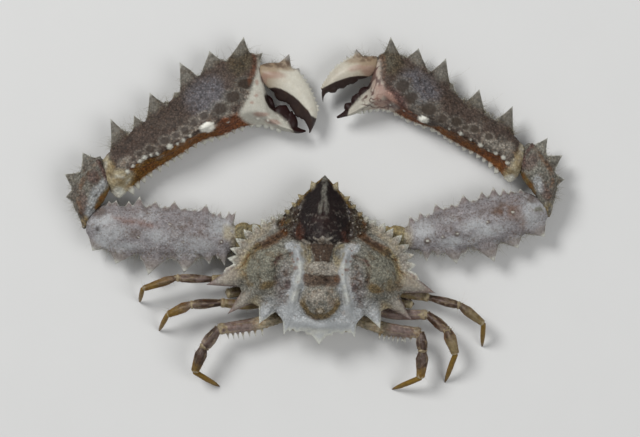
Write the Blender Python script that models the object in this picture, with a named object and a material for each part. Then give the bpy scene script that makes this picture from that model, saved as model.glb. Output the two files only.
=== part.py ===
# Elbow crab, a dried specimen that lies on its belly with both claws folded in front of it.
# Metres, +Z up. +Y is the way the crab faces and X is across it.
# The origin is on the ground, under the flat middle of the tail plate.
# All the sizes below are in millimetres and are turned into metres by MM.

import math

import bmesh
import bpy
from mathutils import Matrix, Vector

MM = 0.001
GAP = 0.3  # left between neighbouring pieces

# The body is built symmetric about its own middle line, then set on this spot and turned.
BODY_X = 0.1
BODY_Y = 3.0
BODY_TURN = -2.0  # degrees about Z

# Heights of the body above the ground.
CROWN = 12.6
FRONT_MARGIN = 6.4
REAR_MARGIN = 7.6
SHELL_FLOOR = 4.5
STERNUM_TOP = SHELL_FLOOR - GAP
STERNUM_BOTTOM = 0.9
TAIL_THICKNESS = STERNUM_BOTTOM - GAP

# Half of the carapace's outline, from the beak round the right side to the rear, as (x, y).
OUTLINE = [
    (0.0, 19.0), (1.2, 17.6), (2.6, 16.3), (4.0, 15.0), (5.6, 13.4), (7.0, 11.8),
    (8.6, 10.2), (11.2, 9.0), (13.4, 7.6), (15.2, 6.0), (16.6, 4.0), (17.4, 1.6),
    (17.4, -0.8), (16.2, -3.0), (15.8, -4.6), (15.0, -6.4), (13.2, -7.8), (10.8, -8.4),
    (8.8, -8.8), (7.8, -10.2), (7.2, -11.8), (5.2, -12.3), (2.8, -12.7), (1.2, -13.4), (0.0, -13.9),
]

# Swellings and hollows of the carapace on one side, as (x, y, radius, height).
SWELLINGS = [
    (0.0, 7.6, 4.6, 1.5), (0.0, 15.5, 2.6, 0.7), (0.0, 0.6, 2.6, 0.9), (0.0, -6.6, 3.8, 1.6),
    (9.2, 1.6, 4.2, 1.9), (9.6, -4.6, 3.2, 1.2), (5.0, -4.0, 1.6, 0.9),
    (4.6, 4.6, 2.0, -1.6), (5.6, -0.6, 1.7, -1.1), (12.8, 5.6, 2.2, -1.2), (0.0, -2.4, 1.6, -0.6),
]

# Spines of the carapace's right side, as (root x, root y, tip x, tip y, half width, tip height).
BODY_SPINES = [
    (16.4, -2.2, 22.9, -3.8, 2.3, 6.6),
    (14.2, -6.4, 18.5, -9.4, 1.5, 7.4),
    (10.4, -8.0, 12.0, -11.0, 1.5, 9.2),
    (6.6, -11.4, 7.0, -13.2, 0.7, 7.2),
    (2.0, 16.2, 2.7, 17.2, 0.35, 6.6),
    (16.6, 1.5, 18.9, 1.9, 0.9, 6.8),
    (16.4, 3.3, 18.3, 3.6, 0.9, 6.8),
    (15.4, 5.0, 17.3, 5.5, 0.9, 6.8),
    (14.3, 6.4, 15.8, 7.2, 0.8, 6.8),
    (12.9, 7.4, 14.4, 8.4, 0.8, 6.7),
    (11.3, 8.2, 12.2, 9.6, 0.8, 6.7),
    (9.0, 9.2, 9.8, 10.6, 0.7, 6.6),
    (7.0, 10.8, 7.9, 11.9, 0.6, 6.5),
]
REAR_SPINE = (0.0, -12.8, 0.0, -14.9, 1.3, 7.4)

# Half widths of the belly at places along it, as (y, half width), and the balls at the leg roots.
STERNUM_WIDTHS = [(8.4, 5.6), (4.0, 8.2), (0.0, 8.4), (-4.0, 7.6), (-7.5, 6.2), (-11.0, 4.2)]
COXAE = [(8.1, 4.8, 1.6), (8.5, 0.2, 1.3), (7.9, -2.9, 1.3), (7.0, -5.8, 1.3), (5.6, -8.6, 1.3)]
TAIL_OUTLINE = [(3.4, -10.6), (3.0, -6.0), (2.2, -1.5), (1.3, 2.6), (0.0, 4.2)]
MOUTH_PLATE = {"x": 2.0, "y": 11.0, "z": 3.4, "size": (3.2, 4.6, 1.0), "lean": 12.0}
EYE = {"x": 4.9, "y": 13.3, "z": 5.5, "radius": 0.8}

# Cross sections, as points (across, level) round them. Across runs from 0 at the outer edge to 1
# at the inner edge. Level is 1 at the top, 0 at the height of the edges and -1 at the bottom.
ARM_SECTION = [(0.0, 0.0), (0.12, 0.60), (0.50, 1.0), (0.88, 0.60), (1.0, 0.0), (0.86, -0.72),
               (0.50, -1.0), (0.14, -0.72)]
PALM_SECTION = [(0.0, 0.0), (0.20, 0.50), (0.52, 0.86), (0.80, 1.0), (0.92, 0.40), (1.0, -0.25),
                (0.78, -0.85), (0.45, -1.0), (0.15, -0.60)]
LEG_SECTION = [(0.0, 0.0), (0.15, 0.72), (0.50, 1.0), (0.85, 0.72), (1.0, 0.0), (0.85, -0.72),
               (0.50, -1.0), (0.15, -0.72)]

# Each arm piece is drawn through rows of
# (outer edge x, y, inner edge x, y, height of the edges, rise above them, drop below them).
ARMS = {
    "left": {
        "base": [
            (-9.9, 6.6, -9.9, 10.0, 2.8, 1.3, 1.5), (-13.6, 6.4, -13.4, 11.8, 2.9, 1.4, 1.7),
            (-16.6, 7.0, -16.6, 12.8, 3.3, 1.5, 1.8),
        ],
        "merus": [
            (-17.0, 7.0, -17.0, 11.8, 3.6, 1.7, 2.1), (-18.8, 5.8, -18.8, 13.6, 3.9, 2.3, 2.9),
            (-23.2, 5.6, -23.2, 14.6, 4.2, 3.1, 3.3), (-28.2, 5.6, -28.2, 15.0, 4.3, 3.3, 3.4),
            (-34.2, 5.7, -34.2, 15.6, 4.3, 3.4, 3.4), (-40.2, 6.6, -39.2, 15.9, 4.3, 3.3, 3.3),
            (-44.2, 7.6, -43.6, 16.5, 4.3, 3.1, 3.1), (-47.0, 9.2, -46.4, 14.6, 4.2, 2.4, 2.4),
        ],
        "merus_spines": [
            (-19.4, 6.4, -19.3, 3.8, 0.9), (-22.4, 6.2, -22.4, 4.2, 0.9), (-26.6, 6.4, -27.5, 2.5, 1.7),
            (-29.4, 6.3, -29.6, 4.8, 0.9), (-32.8, 6.8, -34.7, 2.0, 1.9), (-39.6, 7.6, -41.2, 4.3, 2.1),
            (-44.0, 8.8, -45.8, 6.9, 1.9),
            (-18.8, 13.0, -18.5, 14.8, 0.8), (-23.2, 13.8, -23.1, 16.0, 1.1),
            (-29.5, 14.2, -29.5, 16.6, 1.2), (-33.4, 14.8, -33.3, 16.6, 1.0),
            (-36.4, 14.8, -36.4, 17.6, 1.1), (-38.7, 15.3, -38.7, 16.6, 0.7),
            (-41.4, 15.4, -41.2, 16.8, 0.7), (-26.2, 14.2, -26.2, 15.4, 0.6),
            (-31.4, 14.8, -31.3, 15.8, 0.6),
        ],
        "carpus": [
            (-48.2, 12.4, -46.9, 13.6, 4.0, 1.6, 1.6), (-48.8, 14.4, -46.0, 15.4, 4.2, 2.5, 2.6),
            (-49.8, 16.2, -45.2, 16.9, 4.3, 3.0, 3.0), (-50.0, 18.6, -44.0, 18.4, 4.4, 3.3, 3.2),
            (-49.4, 21.0, -43.0, 19.6, 4.5, 3.5, 3.3), (-48.0, 23.0, -42.9, 20.9, 4.5, 3.4, 3.3),
            (-46.2, 24.9, -43.6, 23.0, 4.5, 2.9, 2.9), (-45.0, 25.3, -44.2, 24.2, 4.5, 2.2, 2.4),
        ],
        "carpus_spines": [
            (-49.2, 17.4, -51.2, 17.6, 1.0), (-48.9, 21.2, -51.5, 22.2, 1.5), (-46.8, 23.4, -47.9, 26.5, 1.5),
        ],
        "palm": [
            (-44.0, 25.9, -42.2, 18.7, 4.6, 2.6, 2.8), (-43.2, 27.2, -40.4, 16.4, 4.6, 3.1, 3.3),
            (-41.4, 28.2, -38.2, 18.9, 4.5, 3.5, 3.8), (-38.4, 30.9, -35.2, 21.6, 4.4, 3.8, 4.1),
            (-34.8, 33.4, -31.2, 24.4, 4.4, 3.9, 4.3), (-31.6, 35.8, -27.8, 26.6, 4.4, 4.0, 4.4),
            (-28.0, 39.0, -23.8, 29.2, 4.4, 4.1, 4.4), (-23.4, 42.8, -19.8, 30.3, 4.4, 4.2, 4.4),
            (-18.2, 45.8, -15.8, 31.8, 4.4, 4.0, 4.2), (-14.2, 46.4, -13.0, 32.1, 4.4, 3.5, 3.8),
            (-12.4, 44.4, -11.2, 31.9, 4.3, 2.9, 3.2), (-11.6, 39.4, -9.8, 31.5, 4.2, 2.4, 2.6),
            (-9.9, 35.4, -8.2, 31.0, 4.0, 2.0, 2.0), (-7.2, 33.0, -6.4, 30.5, 3.8, 1.5, 1.5),
            (-4.0, 31.6, -4.2, 30.6, 3.6, 0.8, 0.8),
        ],
        "palm_spines": [
            (-40.4, 28.0, -42.2, 33.3, 2.0), (-36.8, 31.2, -37.7, 34.0, 1.1), (-32.8, 33.6, -34.4, 38.5, 2.0),
            (-29.2, 36.6, -29.7, 38.5, 0.9), (-26.4, 39.4, -28.5, 44.6, 2.1), (-21.6, 42.4, -22.4, 46.9, 2.1),
            (-16.6, 45.0, -15.5, 49.7, 1.9), (-13.0, 44.6, -12.0, 46.4, 0.7), (-22.7, 32.4, -22.8, 31.0, 1.3),
        ],
        "finger": [
            (-11.9, 44.8, -11.5, 40.4, 4.4, 2.0, 2.2), (-9.8, 44.9, -10.4, 38.9, 4.4, 2.4, 2.5),
            (-7.2, 44.3, -8.4, 37.9, 4.4, 2.4, 2.4), (-4.8, 43.0, -6.4, 36.9, 4.3, 2.3, 2.2),
            (-3.0, 40.8, -4.8, 35.4, 4.2, 2.1, 2.0), (-1.6, 38.2, -3.8, 33.8, 4.1, 1.8, 1.7),
            (-0.8, 35.4, -3.0, 32.4, 3.9, 1.5, 1.4), (-1.0, 33.2, -2.6, 31.4, 3.7, 1.1, 1.0),
            (-2.0, 30.8, -2.4, 30.7, 3.5, 0.5, 0.5),
        ],
        "finger_spines": [(-7.2, 43.8, -6.5, 46.1, 1.0), (-5.2, 42.6, -4.6, 43.3, 0.6)],
    },
    "right": {
        "base": [
            (10.3, 6.2, 10.2, 9.6, 2.8, 1.3, 1.5), (13.4, 6.2, 13.2, 11.0, 2.9, 1.4, 1.7),
            (16.5, 7.0, 16.2, 12.2, 3.3, 1.5, 1.8),
        ],
        "merus": [
            (16.8, 7.2, 16.6, 11.4, 3.6, 1.7, 2.1), (18.6, 6.7, 18.2, 12.7, 3.9, 2.3, 2.9),
            (23.0, 6.8, 22.2, 14.2, 4.2, 3.1, 3.3), (28.0, 7.0, 27.0, 15.8, 4.3, 3.3, 3.4),
            (33.0, 7.8, 31.8, 17.0, 4.3, 3.4, 3.4), (37.4, 9.0, 36.6, 18.1, 4.3, 3.3, 3.3),
            (42.2, 10.2, 41.4, 19.0, 4.3, 3.1, 3.1), (45.6, 12.6, 44.4, 17.0, 4.2, 2.4, 2.4),
        ],
        "merus_spines": [
            (20.8, 7.2, 21.1, 4.7, 1.0), (23.0, 7.3, 23.4, 5.4, 0.9), (26.0, 7.6, 27.2, 4.3, 1.6),
            (28.7, 7.6, 29.0, 6.4, 0.7), (33.2, 8.6, 34.8, 4.7, 1.6), (38.0, 9.8, 39.6, 7.4, 1.7),
            (42.6, 12.2, 44.8, 9.7, 1.6),
            (18.0, 12.2, 17.9, 13.8, 0.8), (20.0, 12.8, 19.8, 14.6, 0.8), (23.2, 14.0, 23.0, 16.2, 1.0),
            (26.0, 15.0, 26.0, 16.1, 0.6), (28.6, 15.6, 28.6, 18.0, 1.1), (32.3, 16.6, 32.3, 18.6, 1.0),
            (34.6, 17.0, 34.6, 19.5, 1.1), (36.6, 17.4, 36.6, 19.2, 0.8), (38.6, 17.8, 38.6, 18.9, 0.6),
        ],
        "carpus": [
            (46.4, 13.8, 45.2, 15.4, 4.0, 1.6, 1.6), (46.8, 16.2, 44.6, 17.2, 4.2, 2.5, 2.6),
            (47.2, 18.2, 43.6, 18.9, 4.3, 3.0, 3.0), (47.4, 20.2, 42.2, 20.2, 4.4, 3.3, 3.2),
            (47.0, 22.6, 40.9, 21.5, 4.5, 3.5, 3.3), (46.0, 24.8, 40.4, 23.2, 4.5, 3.4, 3.3),
            (44.0, 26.9, 40.7, 25.2, 4.5, 2.9, 2.9), (42.4, 28.1, 41.3, 27.0, 4.5, 2.2, 2.4),
        ],
        "carpus_spines": [
            (46.6, 20.7, 48.9, 21.1, 1.0), (45.8, 23.9, 48.5, 25.9, 1.5), (43.8, 25.8, 45.5, 29.4, 1.4),
        ],
        "palm": [
            (41.3, 28.5, 39.4, 21.2, 4.6, 2.6, 2.8), (40.0, 29.8, 37.4, 19.6, 4.6, 3.1, 3.3),
            (38.2, 31.0, 35.2, 22.3, 4.5, 3.5, 3.8), (35.4, 33.0, 32.2, 25.0, 4.4, 3.8, 4.1),
            (32.2, 35.0, 28.8, 27.0, 4.4, 3.9, 4.3), (28.6, 37.0, 25.4, 29.0, 4.4, 4.0, 4.4),
            (25.0, 40.4, 22.2, 31.2, 4.4, 4.1, 4.4), (21.4, 43.2, 18.2, 33.0, 4.4, 4.2, 4.4),
            (17.2, 45.6, 14.8, 34.6, 4.4, 4.0, 4.2), (13.8, 46.8, 12.4, 35.3, 4.4, 3.5, 3.8),
            (11.4, 45.4, 10.6, 35.2, 4.3, 2.9, 3.2), (10.1, 40.4, 9.2, 35.0, 4.2, 2.4, 2.6),
            (7.8, 37.4, 8.0, 34.7, 4.0, 2.0, 2.0), (6.2, 36.0, 6.6, 34.0, 3.8, 1.5, 1.5),
            (4.0, 34.2, 4.3, 33.5, 3.6, 0.8, 0.8),
        ],
        "palm_spines": [
            (36.8, 31.0, 38.4, 35.8, 1.9), (33.6, 33.4, 33.7, 34.7, 0.9), (30.8, 34.6, 31.8, 39.2, 1.9),
            (26.9, 37.6, 26.5, 40.3, 0.9), (23.8, 40.4, 25.1, 45.4, 2.0), (19.0, 43.6, 19.6, 47.4, 1.9),
            (14.8, 45.6, 14.0, 49.7, 1.6), (19.9, 34.8, 19.4, 32.6, 1.3),
        ],
        "finger": [
            (11.2, 46.6, 10.2, 41.9, 4.4, 2.0, 2.2), (9.8, 46.2, 9.0, 41.4, 4.4, 2.4, 2.5),
            (7.8, 46.0, 7.2, 41.2, 4.4, 2.4, 2.4), (5.6, 45.4, 5.2, 40.6, 4.3, 2.3, 2.2),
            (3.6, 44.2, 3.4, 39.9, 4.2, 2.1, 2.0), (2.0, 42.6, 2.0, 39.2, 4.1, 1.8, 1.7),
            (0.8, 40.6, 1.0, 38.7, 3.9, 1.5, 1.4), (0.1, 38.8, 0.5, 38.0, 3.7, 1.1, 1.0),
            (0.4, 36.9, 0.5, 36.9, 3.5, 0.5, 0.5),
        ],
        "finger_spines": [(7.4, 45.4, 7.1, 47.2, 0.8), (5.5, 44.8, 5.2, 45.8, 0.6)],
    },
}

# Each walking leg, as the places of its joints (x, y, z) from the belly to the tip, and the widths
# of its merus, carpus, propodus and dactylus. The second pair is folded under the body.
LEGS = {
    "left": {
        1: [[(-9.9, 3.2, 2.6), (-16.0, 1.6, 3.4), (-22.0, 1.1, 4.4)], (-29.1, 1.4, 5.6),
            (-35.8, -0.8, 5.0), (-36.6, -3.6, 0.0), (1.8, 1.6, 1.5, 1.0)],
        2: [[(-9.5, 0.1, 2.9), (-14.5, -1.0, 3.1), (-19.0, -1.8, 3.9)], (-14.4, 0.2, 1.2),
            (-11.6, 2.6, 1.2), (-9.6, 5.0, 0.0), (2.2, 1.4, 1.3, 0.8)],
        3: [[(-8.7, -2.9, 2.6), (-14.5, -4.0, 3.6), (-20.2, -3.6, 4.4)], (-26.3, -4.0, 5.6),
            (-30.8, -6.0, 4.8), (-32.7, -9.4, 0.0), (2.0, 1.8, 1.8, 1.1)],
        4: [[(-7.1, -6.2, 2.9), (-13.0, -7.8, 4.4), (-20.7, -8.9, 5.6)], (-23.6, -12.7, 5.8),
            (-25.4, -17.5, 4.2), (-20.5, -20.6, 0.0), (2.5, 2.2, 2.1, 1.2)],
    },
    "right": {
        1: [[(10.0, 2.4, 2.9), (15.0, -1.2, 3.8), (21.8, -2.6, 4.4)], (28.0, -4.2, 5.6),
            (32.6, -7.8, 4.8), (32.5, -12.6, 0.0), (1.9, 1.6, 1.7, 1.1)],
        2: [[(9.4, -0.8, 2.3), (14.0, -3.2, 2.6), (18.4, -4.1, 3.4)], (15.0, -0.4, 1.2),
            (12.2, 1.4, 1.2), (10.0, 4.0, 0.0), (1.7, 1.3, 1.2, 0.8)],
        3: [[(8.6, -3.8, 2.9), (14.0, -5.8, 4.0), (21.4, -6.0, 4.6)], (25.4, -9.2, 5.6),
            (27.0, -13.9, 4.6), (25.0, -19.8, 0.0), (2.2, 1.9, 2.1, 1.2)],
        4: [[(7.0, -6.9, 2.9), (13.0, -8.8, 4.4), (20.0, -9.7, 5.6)], (20.4, -13.4, 5.6),
            (20.0, -18.7, 4.0), (14.3, -21.2, 0.0), (2.5, 2.0, 2.1, 1.2)],
    },
}
LEG_PIECES = ("merus", "carpus", "propodus", "dactylus")
FOLDED_PAIR = 2
FOLD_DROP = 2.4  # how far under the end of its merus a folded leg's carpus starts
TIP_WIDTH = 0.5
# Small teeth under the rear edge of the last pair's meri, as (x, y) of their tips.
LEG_TEETH = {
    "left": [(-11.6, -9.7), (-13.0, -9.9), (-14.2, -9.9), (-15.4, -10.5), (-16.4, -9.9), (-17.4, -10.1),
             (-18.2, -10.1)],
    "right": [(12.4, -10.6), (13.2, -10.5), (14.0, -10.5), (14.8, -11.1), (15.5, -10.8), (16.3, -10.9),
              (17.2, -10.7)],
}
# Beads along the inner edge of each palm: how many, over which stretch of it, and their size.
BEADS = {"count": 15, "from": 0.14, "to": 0.76, "half_width": 0.42, "length": 0.75}

# Colour, roughness of each finish.
FINISHES = {
    "shell": ((0.36, 0.32, 0.27), 0.70),
    "claw_shell": ((0.33, 0.29, 0.26), 0.72),
    "finger_ivory": ((0.66, 0.60, 0.50), 0.45),
    "leg_shell": ((0.30, 0.23, 0.18), 0.60),
    "amber_tip": ((0.36, 0.24, 0.10), 0.50),
    "belly_shell": ((0.50, 0.44, 0.34), 0.62),
    "eye": ((0.07, 0.05, 0.04), 0.30),
}


def clear_scene():
    for old in list(bpy.data.objects):
        bpy.data.objects.remove(old)


def new_collection(name):
    made = bpy.data.collections.new(name)
    bpy.context.scene.collection.children.link(made)
    return made


def finish(name):
    """The Principled material of one finish, made once."""
    if name in bpy.data.materials:
        return bpy.data.materials[name]
    colour, roughness = FINISHES[name]
    made = bpy.data.materials.new(name)
    made.use_nodes = True
    shader = made.node_tree.nodes["Principled BSDF"]
    shader.inputs["Base Color"].default_value = (*colour, 1.0)
    shader.inputs["Roughness"].default_value = roughness
    shader.inputs["Metallic"].default_value = 0.0
    return made


def smooth_row(rows, share, closed=False):
    """The row at a share (0 to 1) of the way through rows, on a Catmull-Rom curve."""
    count = len(rows)
    spans = count if closed else count - 1
    place = (share % 1.0 if closed else min(max(share, 0.0), 1.0)) * spans
    first = min(int(place), spans - 1)
    f = place - first
    picked = []
    for index in range(first - 1, first + 3):
        picked.append(rows[index % count] if closed else rows[min(max(index, 0), count - 1)])
    return [
        0.5 * (2 * b + (c - a) * f + (2 * a - 5 * b + 4 * c - d) * f * f + (3 * b - 3 * c + d - a) * f ** 3)
        for a, b, c, d in zip(*picked)
    ]


def object_from(bm, name, collection, finish_name=None):
    """A mesh object made from a bmesh, with its faces turned outwards."""
    bmesh.ops.recalc_face_normals(bm, faces=bm.faces)
    if bm.calc_volume(signed=True) < 0.0:
        bmesh.ops.reverse_faces(bm, faces=bm.faces)
    mesh = bpy.data.meshes.new(name)
    bm.to_mesh(mesh)
    bm.free()
    made = bpy.data.objects.new(name, mesh)
    collection.objects.link(made)
    if finish_name:
        mesh.materials.append(finish(finish_name))
        mesh.shade_smooth()
        mesh.set_sharp_from_angle(angle=math.radians(35))
    return made


def reshaped_ball(name, around, along, place, collection, finish_name):
    """A ball whose every point is moved to place(share along its axis, angle round it, fullness)."""
    bm = bmesh.new()
    bmesh.ops.create_uvsphere(bm, u_segments=around, v_segments=along, radius=1.0)
    for vertex in bm.verts:
        height = min(max(vertex.co.z, -1.0), 1.0)
        angle = math.atan2(vertex.co.y, vertex.co.x)
        fullness = math.sqrt(max(1.0 - height * height, 0.0))
        vertex.co = place((1.0 - height) / 2.0, angle, fullness)
    return object_from(bm, name, collection, finish_name)


def limb(name, rows, section, around, along, collection, finish_name, blunt=0.35):
    """A limb piece drawn through rows, with that cross section and blunt ends."""

    def place(share, angle, fullness):
        outer_x, outer_y, inner_x, inner_y, mid, rise, drop = smooth_row(rows, share)
        across, level = smooth_row(section, angle / math.tau, closed=True)
        size = fullness ** blunt if fullness > 1e-6 else 0.0
        across = 0.5 + (across - 0.5) * size
        level *= size
        height = mid + level * (rise if level > 0.0 else drop)
        return Vector((outer_x + (inner_x - outer_x) * across,
                       outer_y + (inner_y - outer_y) * across, max(height, 0.0))) * MM

    return reshaped_ball(name, around, along, place, collection, finish_name)


def add_spine(bm, root, tip, half_width, thickness=0.55, sunk=0.45, sides=6):
    """A flattened cone from inside its root to its tip. Width is level, thickness upright."""
    root, tip = Vector(root) * MM, Vector(tip) * MM
    start = root - (tip - root) * sunk
    forward = tip - start
    flat = forward.cross(Vector((0.0, 0.0, 1.0))).normalized()
    upright = flat.cross(forward).normalized()
    spread = half_width * MM * (1.0 + sunk)
    turned = Matrix((flat * spread, upright * spread * thickness, forward)).transposed().to_4x4()
    turned.translation = (start + tip) / 2.0
    bmesh.ops.create_cone(bm, cap_ends=True, segments=sides, radius1=1.0, radius2=0.0, depth=1.0, matrix=turned)


def add_beads(bm, rows):
    """A row of small blunt teeth along the inner edge of a palm."""
    for index in range(BEADS["count"]):
        share = BEADS["from"] + (BEADS["to"] - BEADS["from"]) * index / (BEADS["count"] - 1)
        outer_x, outer_y, inner_x, inner_y, mid, _, drop = smooth_row(rows, share)
        inward = (Vector((inner_x, inner_y)) - Vector((outer_x, outer_y))).normalized()
        root = Vector((inner_x, inner_y)) - inward * 0.1
        tip = root + inward * BEADS["length"]
        height = mid - 0.25 * drop
        add_spine(bm, (*root, height), (*tip, height), BEADS["half_width"], thickness=1.0, sides=5)


def join_spines(target, bm, helpers):
    """Grows the spines in bm out of the target, as one solid."""
    tool = object_from(bm, target.name + "_spines", helpers)
    tool.hide_render = True
    tool.display_type = "WIRE"
    tool.parent = target.parent
    union = target.modifiers.new("grow spines", "BOOLEAN")
    union.operation = "UNION"
    union.solver = "EXACT"
    union.use_self = True
    union.object = tool


def outline_reach(angle):
    """How far the carapace's outline is from the body's middle in that direction."""
    x, y = abs(math.cos(angle)), math.sin(angle)
    seen = math.atan2(y, x)
    for (x0, y0), (x1, y1) in zip(OUTLINE, OUTLINE[1:]):
        high, low = math.atan2(y0, x0), math.atan2(y1, x1)
        if high >= seen >= low:
            turn = (high - seen) / (high - low)
            return math.hypot(x0, y0) * (1.0 - turn) + math.hypot(x1, y1) * turn
    return math.hypot(*OUTLINE[-1])


def relief(x, y):
    """How much the swellings and hollows lift the carapace at a place."""
    lift = 0.0
    for at_x, at_y, radius, height in SWELLINGS:
        for side in ((1,) if at_x == 0.0 else (1, -1)):
            lift += height * math.exp(-(((x - side * at_x) ** 2 + (y - at_y) ** 2) / radius ** 2))
    return lift


def margin_height(y):
    """Height of the carapace's edge, which rises towards the rear."""
    share = min(max((12.0 - y) / 24.0, 0.0), 1.0)
    return FRONT_MARGIN + (REAR_MARGIN - FRONT_MARGIN) * share


def build_carapace(frame, collection, helpers):
    around, along = 50, 12

    def place(share, angle, fullness):
        reach = outline_reach(angle) * fullness
        x, y = reach * math.cos(angle), reach * math.sin(angle)
        edge = margin_height(y)
        if share <= 0.5 + 1e-6:
            height = edge + (CROWN - edge) * (1.0 - fullness ** 2.2) + relief(x, y) * (1.0 - fullness ** 6)
        else:
            height = SHELL_FLOOR + (edge - 0.3 - SHELL_FLOOR) * fullness ** 6
        return Vector((x, y, height)) * MM

    shell = reshaped_ball("carapace", around, along, place, collection, "shell")
    shell.parent = frame
    bm = bmesh.new()
    for side in (1, -1):
        for root_x, root_y, tip_x, tip_y, half_width, tip_height in BODY_SPINES:
            root_height = max(margin_height(root_y), tip_height - 1.0)
            add_spine(bm, (side * root_x, root_y, root_height), (side * tip_x, tip_y, tip_height), half_width)
    root_x, root_y, tip_x, tip_y, half_width, tip_height = REAR_SPINE
    add_spine(bm, (root_x, root_y, margin_height(root_y)), (tip_x, tip_y, tip_height), half_width)
    join_spines(shell, bm, helpers)
    return shell


def cut_ball(target, centre, radius, helpers):
    """Cuts a round socket out of the target."""
    bm = bmesh.new()
    bmesh.ops.create_uvsphere(bm, u_segments=12, v_segments=8, radius=radius * MM,
                              matrix=Matrix.Translation(Vector(centre) * MM))
    cutter = object_from(bm, f"{target.name}_socket_{len(target.modifiers)}", helpers)
    cutter.hide_render = True
    cutter.display_type = "WIRE"
    cutter.parent = target.parent
    cut = target.modifiers.new("socket", "BOOLEAN")
    cut.operation = "DIFFERENCE"
    cut.solver = "EXACT"
    cut.object = cutter


def build_eyes(frame, shell, collection, helpers):
    for side, name in ((-1, "eye_left"), (1, "eye_right")):
        centre = (side * EYE["x"], EYE["y"], EYE["z"])
        bm = bmesh.new()
        bmesh.ops.create_uvsphere(bm, u_segments=10, v_segments=6, radius=EYE["radius"] * MM,
                                  matrix=Matrix.Translation(Vector(centre) * MM))
        eye = object_from(bm, name, collection, "eye")
        eye.parent = frame
        cut_ball(shell, centre, (EYE["radius"] + GAP) * 1.06, helpers)


def build_sternum(frame, collection, helpers):
    """The belly: an egg in plan, flat on top and below, with a ball at the root of each limb."""
    rear, front = STERNUM_WIDTHS[-1][0], STERNUM_WIDTHS[0][0]

    def place(share, angle, fullness):
        y = front + (rear - front) * share
        half_width = smooth_row(STERNUM_WIDTHS, share)[1]
        size = fullness ** 0.3 if fullness > 1e-6 else 0.0
        across, level = math.cos(angle), math.sin(angle)
        square = 1.0 / max(abs(across), abs(level)) ** 0.6
        middle = (STERNUM_TOP + STERNUM_BOTTOM) / 2.0
        height = middle + level * square * size * (STERNUM_TOP - middle)
        height = min(max(height, STERNUM_BOTTOM), STERNUM_TOP)
        return Vector((across * square * half_width * size, y, height)) * MM

    belly = reshaped_ball("sternum", 16, 10, place, collection, "belly_shell")
    belly.parent = frame
    bm = bmesh.new()
    for side in (1, -1):
        for x, y, radius in COXAE:
            bmesh.ops.create_icosphere(bm, subdivisions=1, radius=radius * MM,
                                       matrix=Matrix.Translation(Vector((side * x, y, 2.7)) * MM))
    join_spines(belly, bm, helpers)


def build_tail(frame, collection):
    """The folded tail plate, a flat tongue under the belly. The crab rests on it."""
    half = TAIL_OUTLINE
    points = half + [(-x, y) for x, y in reversed(half[:-1])]
    curve = bpy.data.curves.new("abdomen", "CURVE")
    curve.dimensions = "2D"
    curve.fill_mode = "BOTH"
    curve.extrude = TAIL_THICKNESS / 2.0 * MM
    spline = curve.splines.new("POLY")
    spline.points.add(len(points) - 1)
    for point, (x, y) in zip(spline.points, points):
        point.co = (x * MM, y * MM, 0.0, 1.0)
    spline.use_cyclic_u = True
    curve.materials.append(finish("belly_shell"))
    tail = bpy.data.objects.new("abdomen", curve)
    tail.location.z = TAIL_THICKNESS / 2.0 * MM
    tail.parent = frame
    collection.objects.link(tail)


def build_mouth_plates(frame, collection):
    for side, name in ((-1, "mouth_plate_left"), (1, "mouth_plate_right")):
        bm = bmesh.new()
        bmesh.ops.create_cube(bm, size=1.0, matrix=Matrix.Diagonal((*MOUTH_PLATE["size"], 1.0 / MM)) * MM)
        bmesh.ops.bevel(bm, geom=bm.edges[:], offset=0.35 * MM, segments=1, affect="EDGES")
        plate = object_from(bm, name, collection, "belly_shell")
        plate.location = Vector((side * MOUTH_PLATE["x"], MOUTH_PLATE["y"], MOUTH_PLATE["z"])) * MM
        plate.rotation_euler.y = math.radians(side * MOUTH_PLATE["lean"])
        plate.parent = frame


def build_arm(side, collection, helpers):
    """One claw-bearing limb: base, merus, carpus, palm with its fixed finger, and movable finger."""
    arm = ARMS[side]
    pieces = {
        "base": (ARM_SECTION, 8, 5, "leg_shell"),
        "merus": (ARM_SECTION, 12, 12, "claw_shell"),
        "carpus": (ARM_SECTION, 12, 10, "claw_shell"),
        "palm": (PALM_SECTION, 16, 20, "claw_shell"),
        "finger": (ARM_SECTION, 10, 12, "finger_ivory"),
    }
    for piece, (section, around, along, finish_name) in pieces.items():
        made = limb(f"{side}_claw_{piece}", arm[piece], section, around, along, collection, finish_name)
        spines = arm.get(f"{piece}_spines")
        if not spines:
            continue
        edge = sum(row[4] for row in arm[piece]) / len(arm[piece])
        bm = bmesh.new()
        for root_x, root_y, tip_x, tip_y, half_width in spines:
            add_spine(bm, (root_x, root_y, edge), (tip_x, tip_y, edge + 0.3), half_width)
        if piece == "palm":
            add_beads(bm, arm[piece])
        join_spines(made, bm, helpers)


def leg_rows(points, width_from, width_to):
    """Limb rows along a line of points, for a leg piece of those widths."""
    rows = []
    for index, point in enumerate(points):
        here = Vector(point)
        before = Vector(points[max(index - 1, 0)])
        after = Vector(points[min(index + 1, len(points) - 1)])
        level = (after - before).to_2d().normalized()
        sideways = Vector((-level.y, level.x))
        share = index / (len(points) - 1)
        half = (width_from + (width_to - width_from) * share) / 2.0
        outer, inner = here.to_2d() + sideways * half, here.to_2d() - sideways * half
        rows.append((*outer, *inner, here.z, half * 1.05, half * 1.05))
    return rows


def shank(before, start, end):
    """Three points from start to end. The start is cut back, and more so where the leg bends."""
    before, start, end = Vector(before), Vector(start), Vector(end)
    forward = (end - start).normalized()
    bend = 1.0 - (start - before).normalized().dot(forward)
    first = start + forward * GAP * (1.2 + 2.0 * min(bend, 1.0))
    return [first, (first + end) / 2.0, end]


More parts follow.
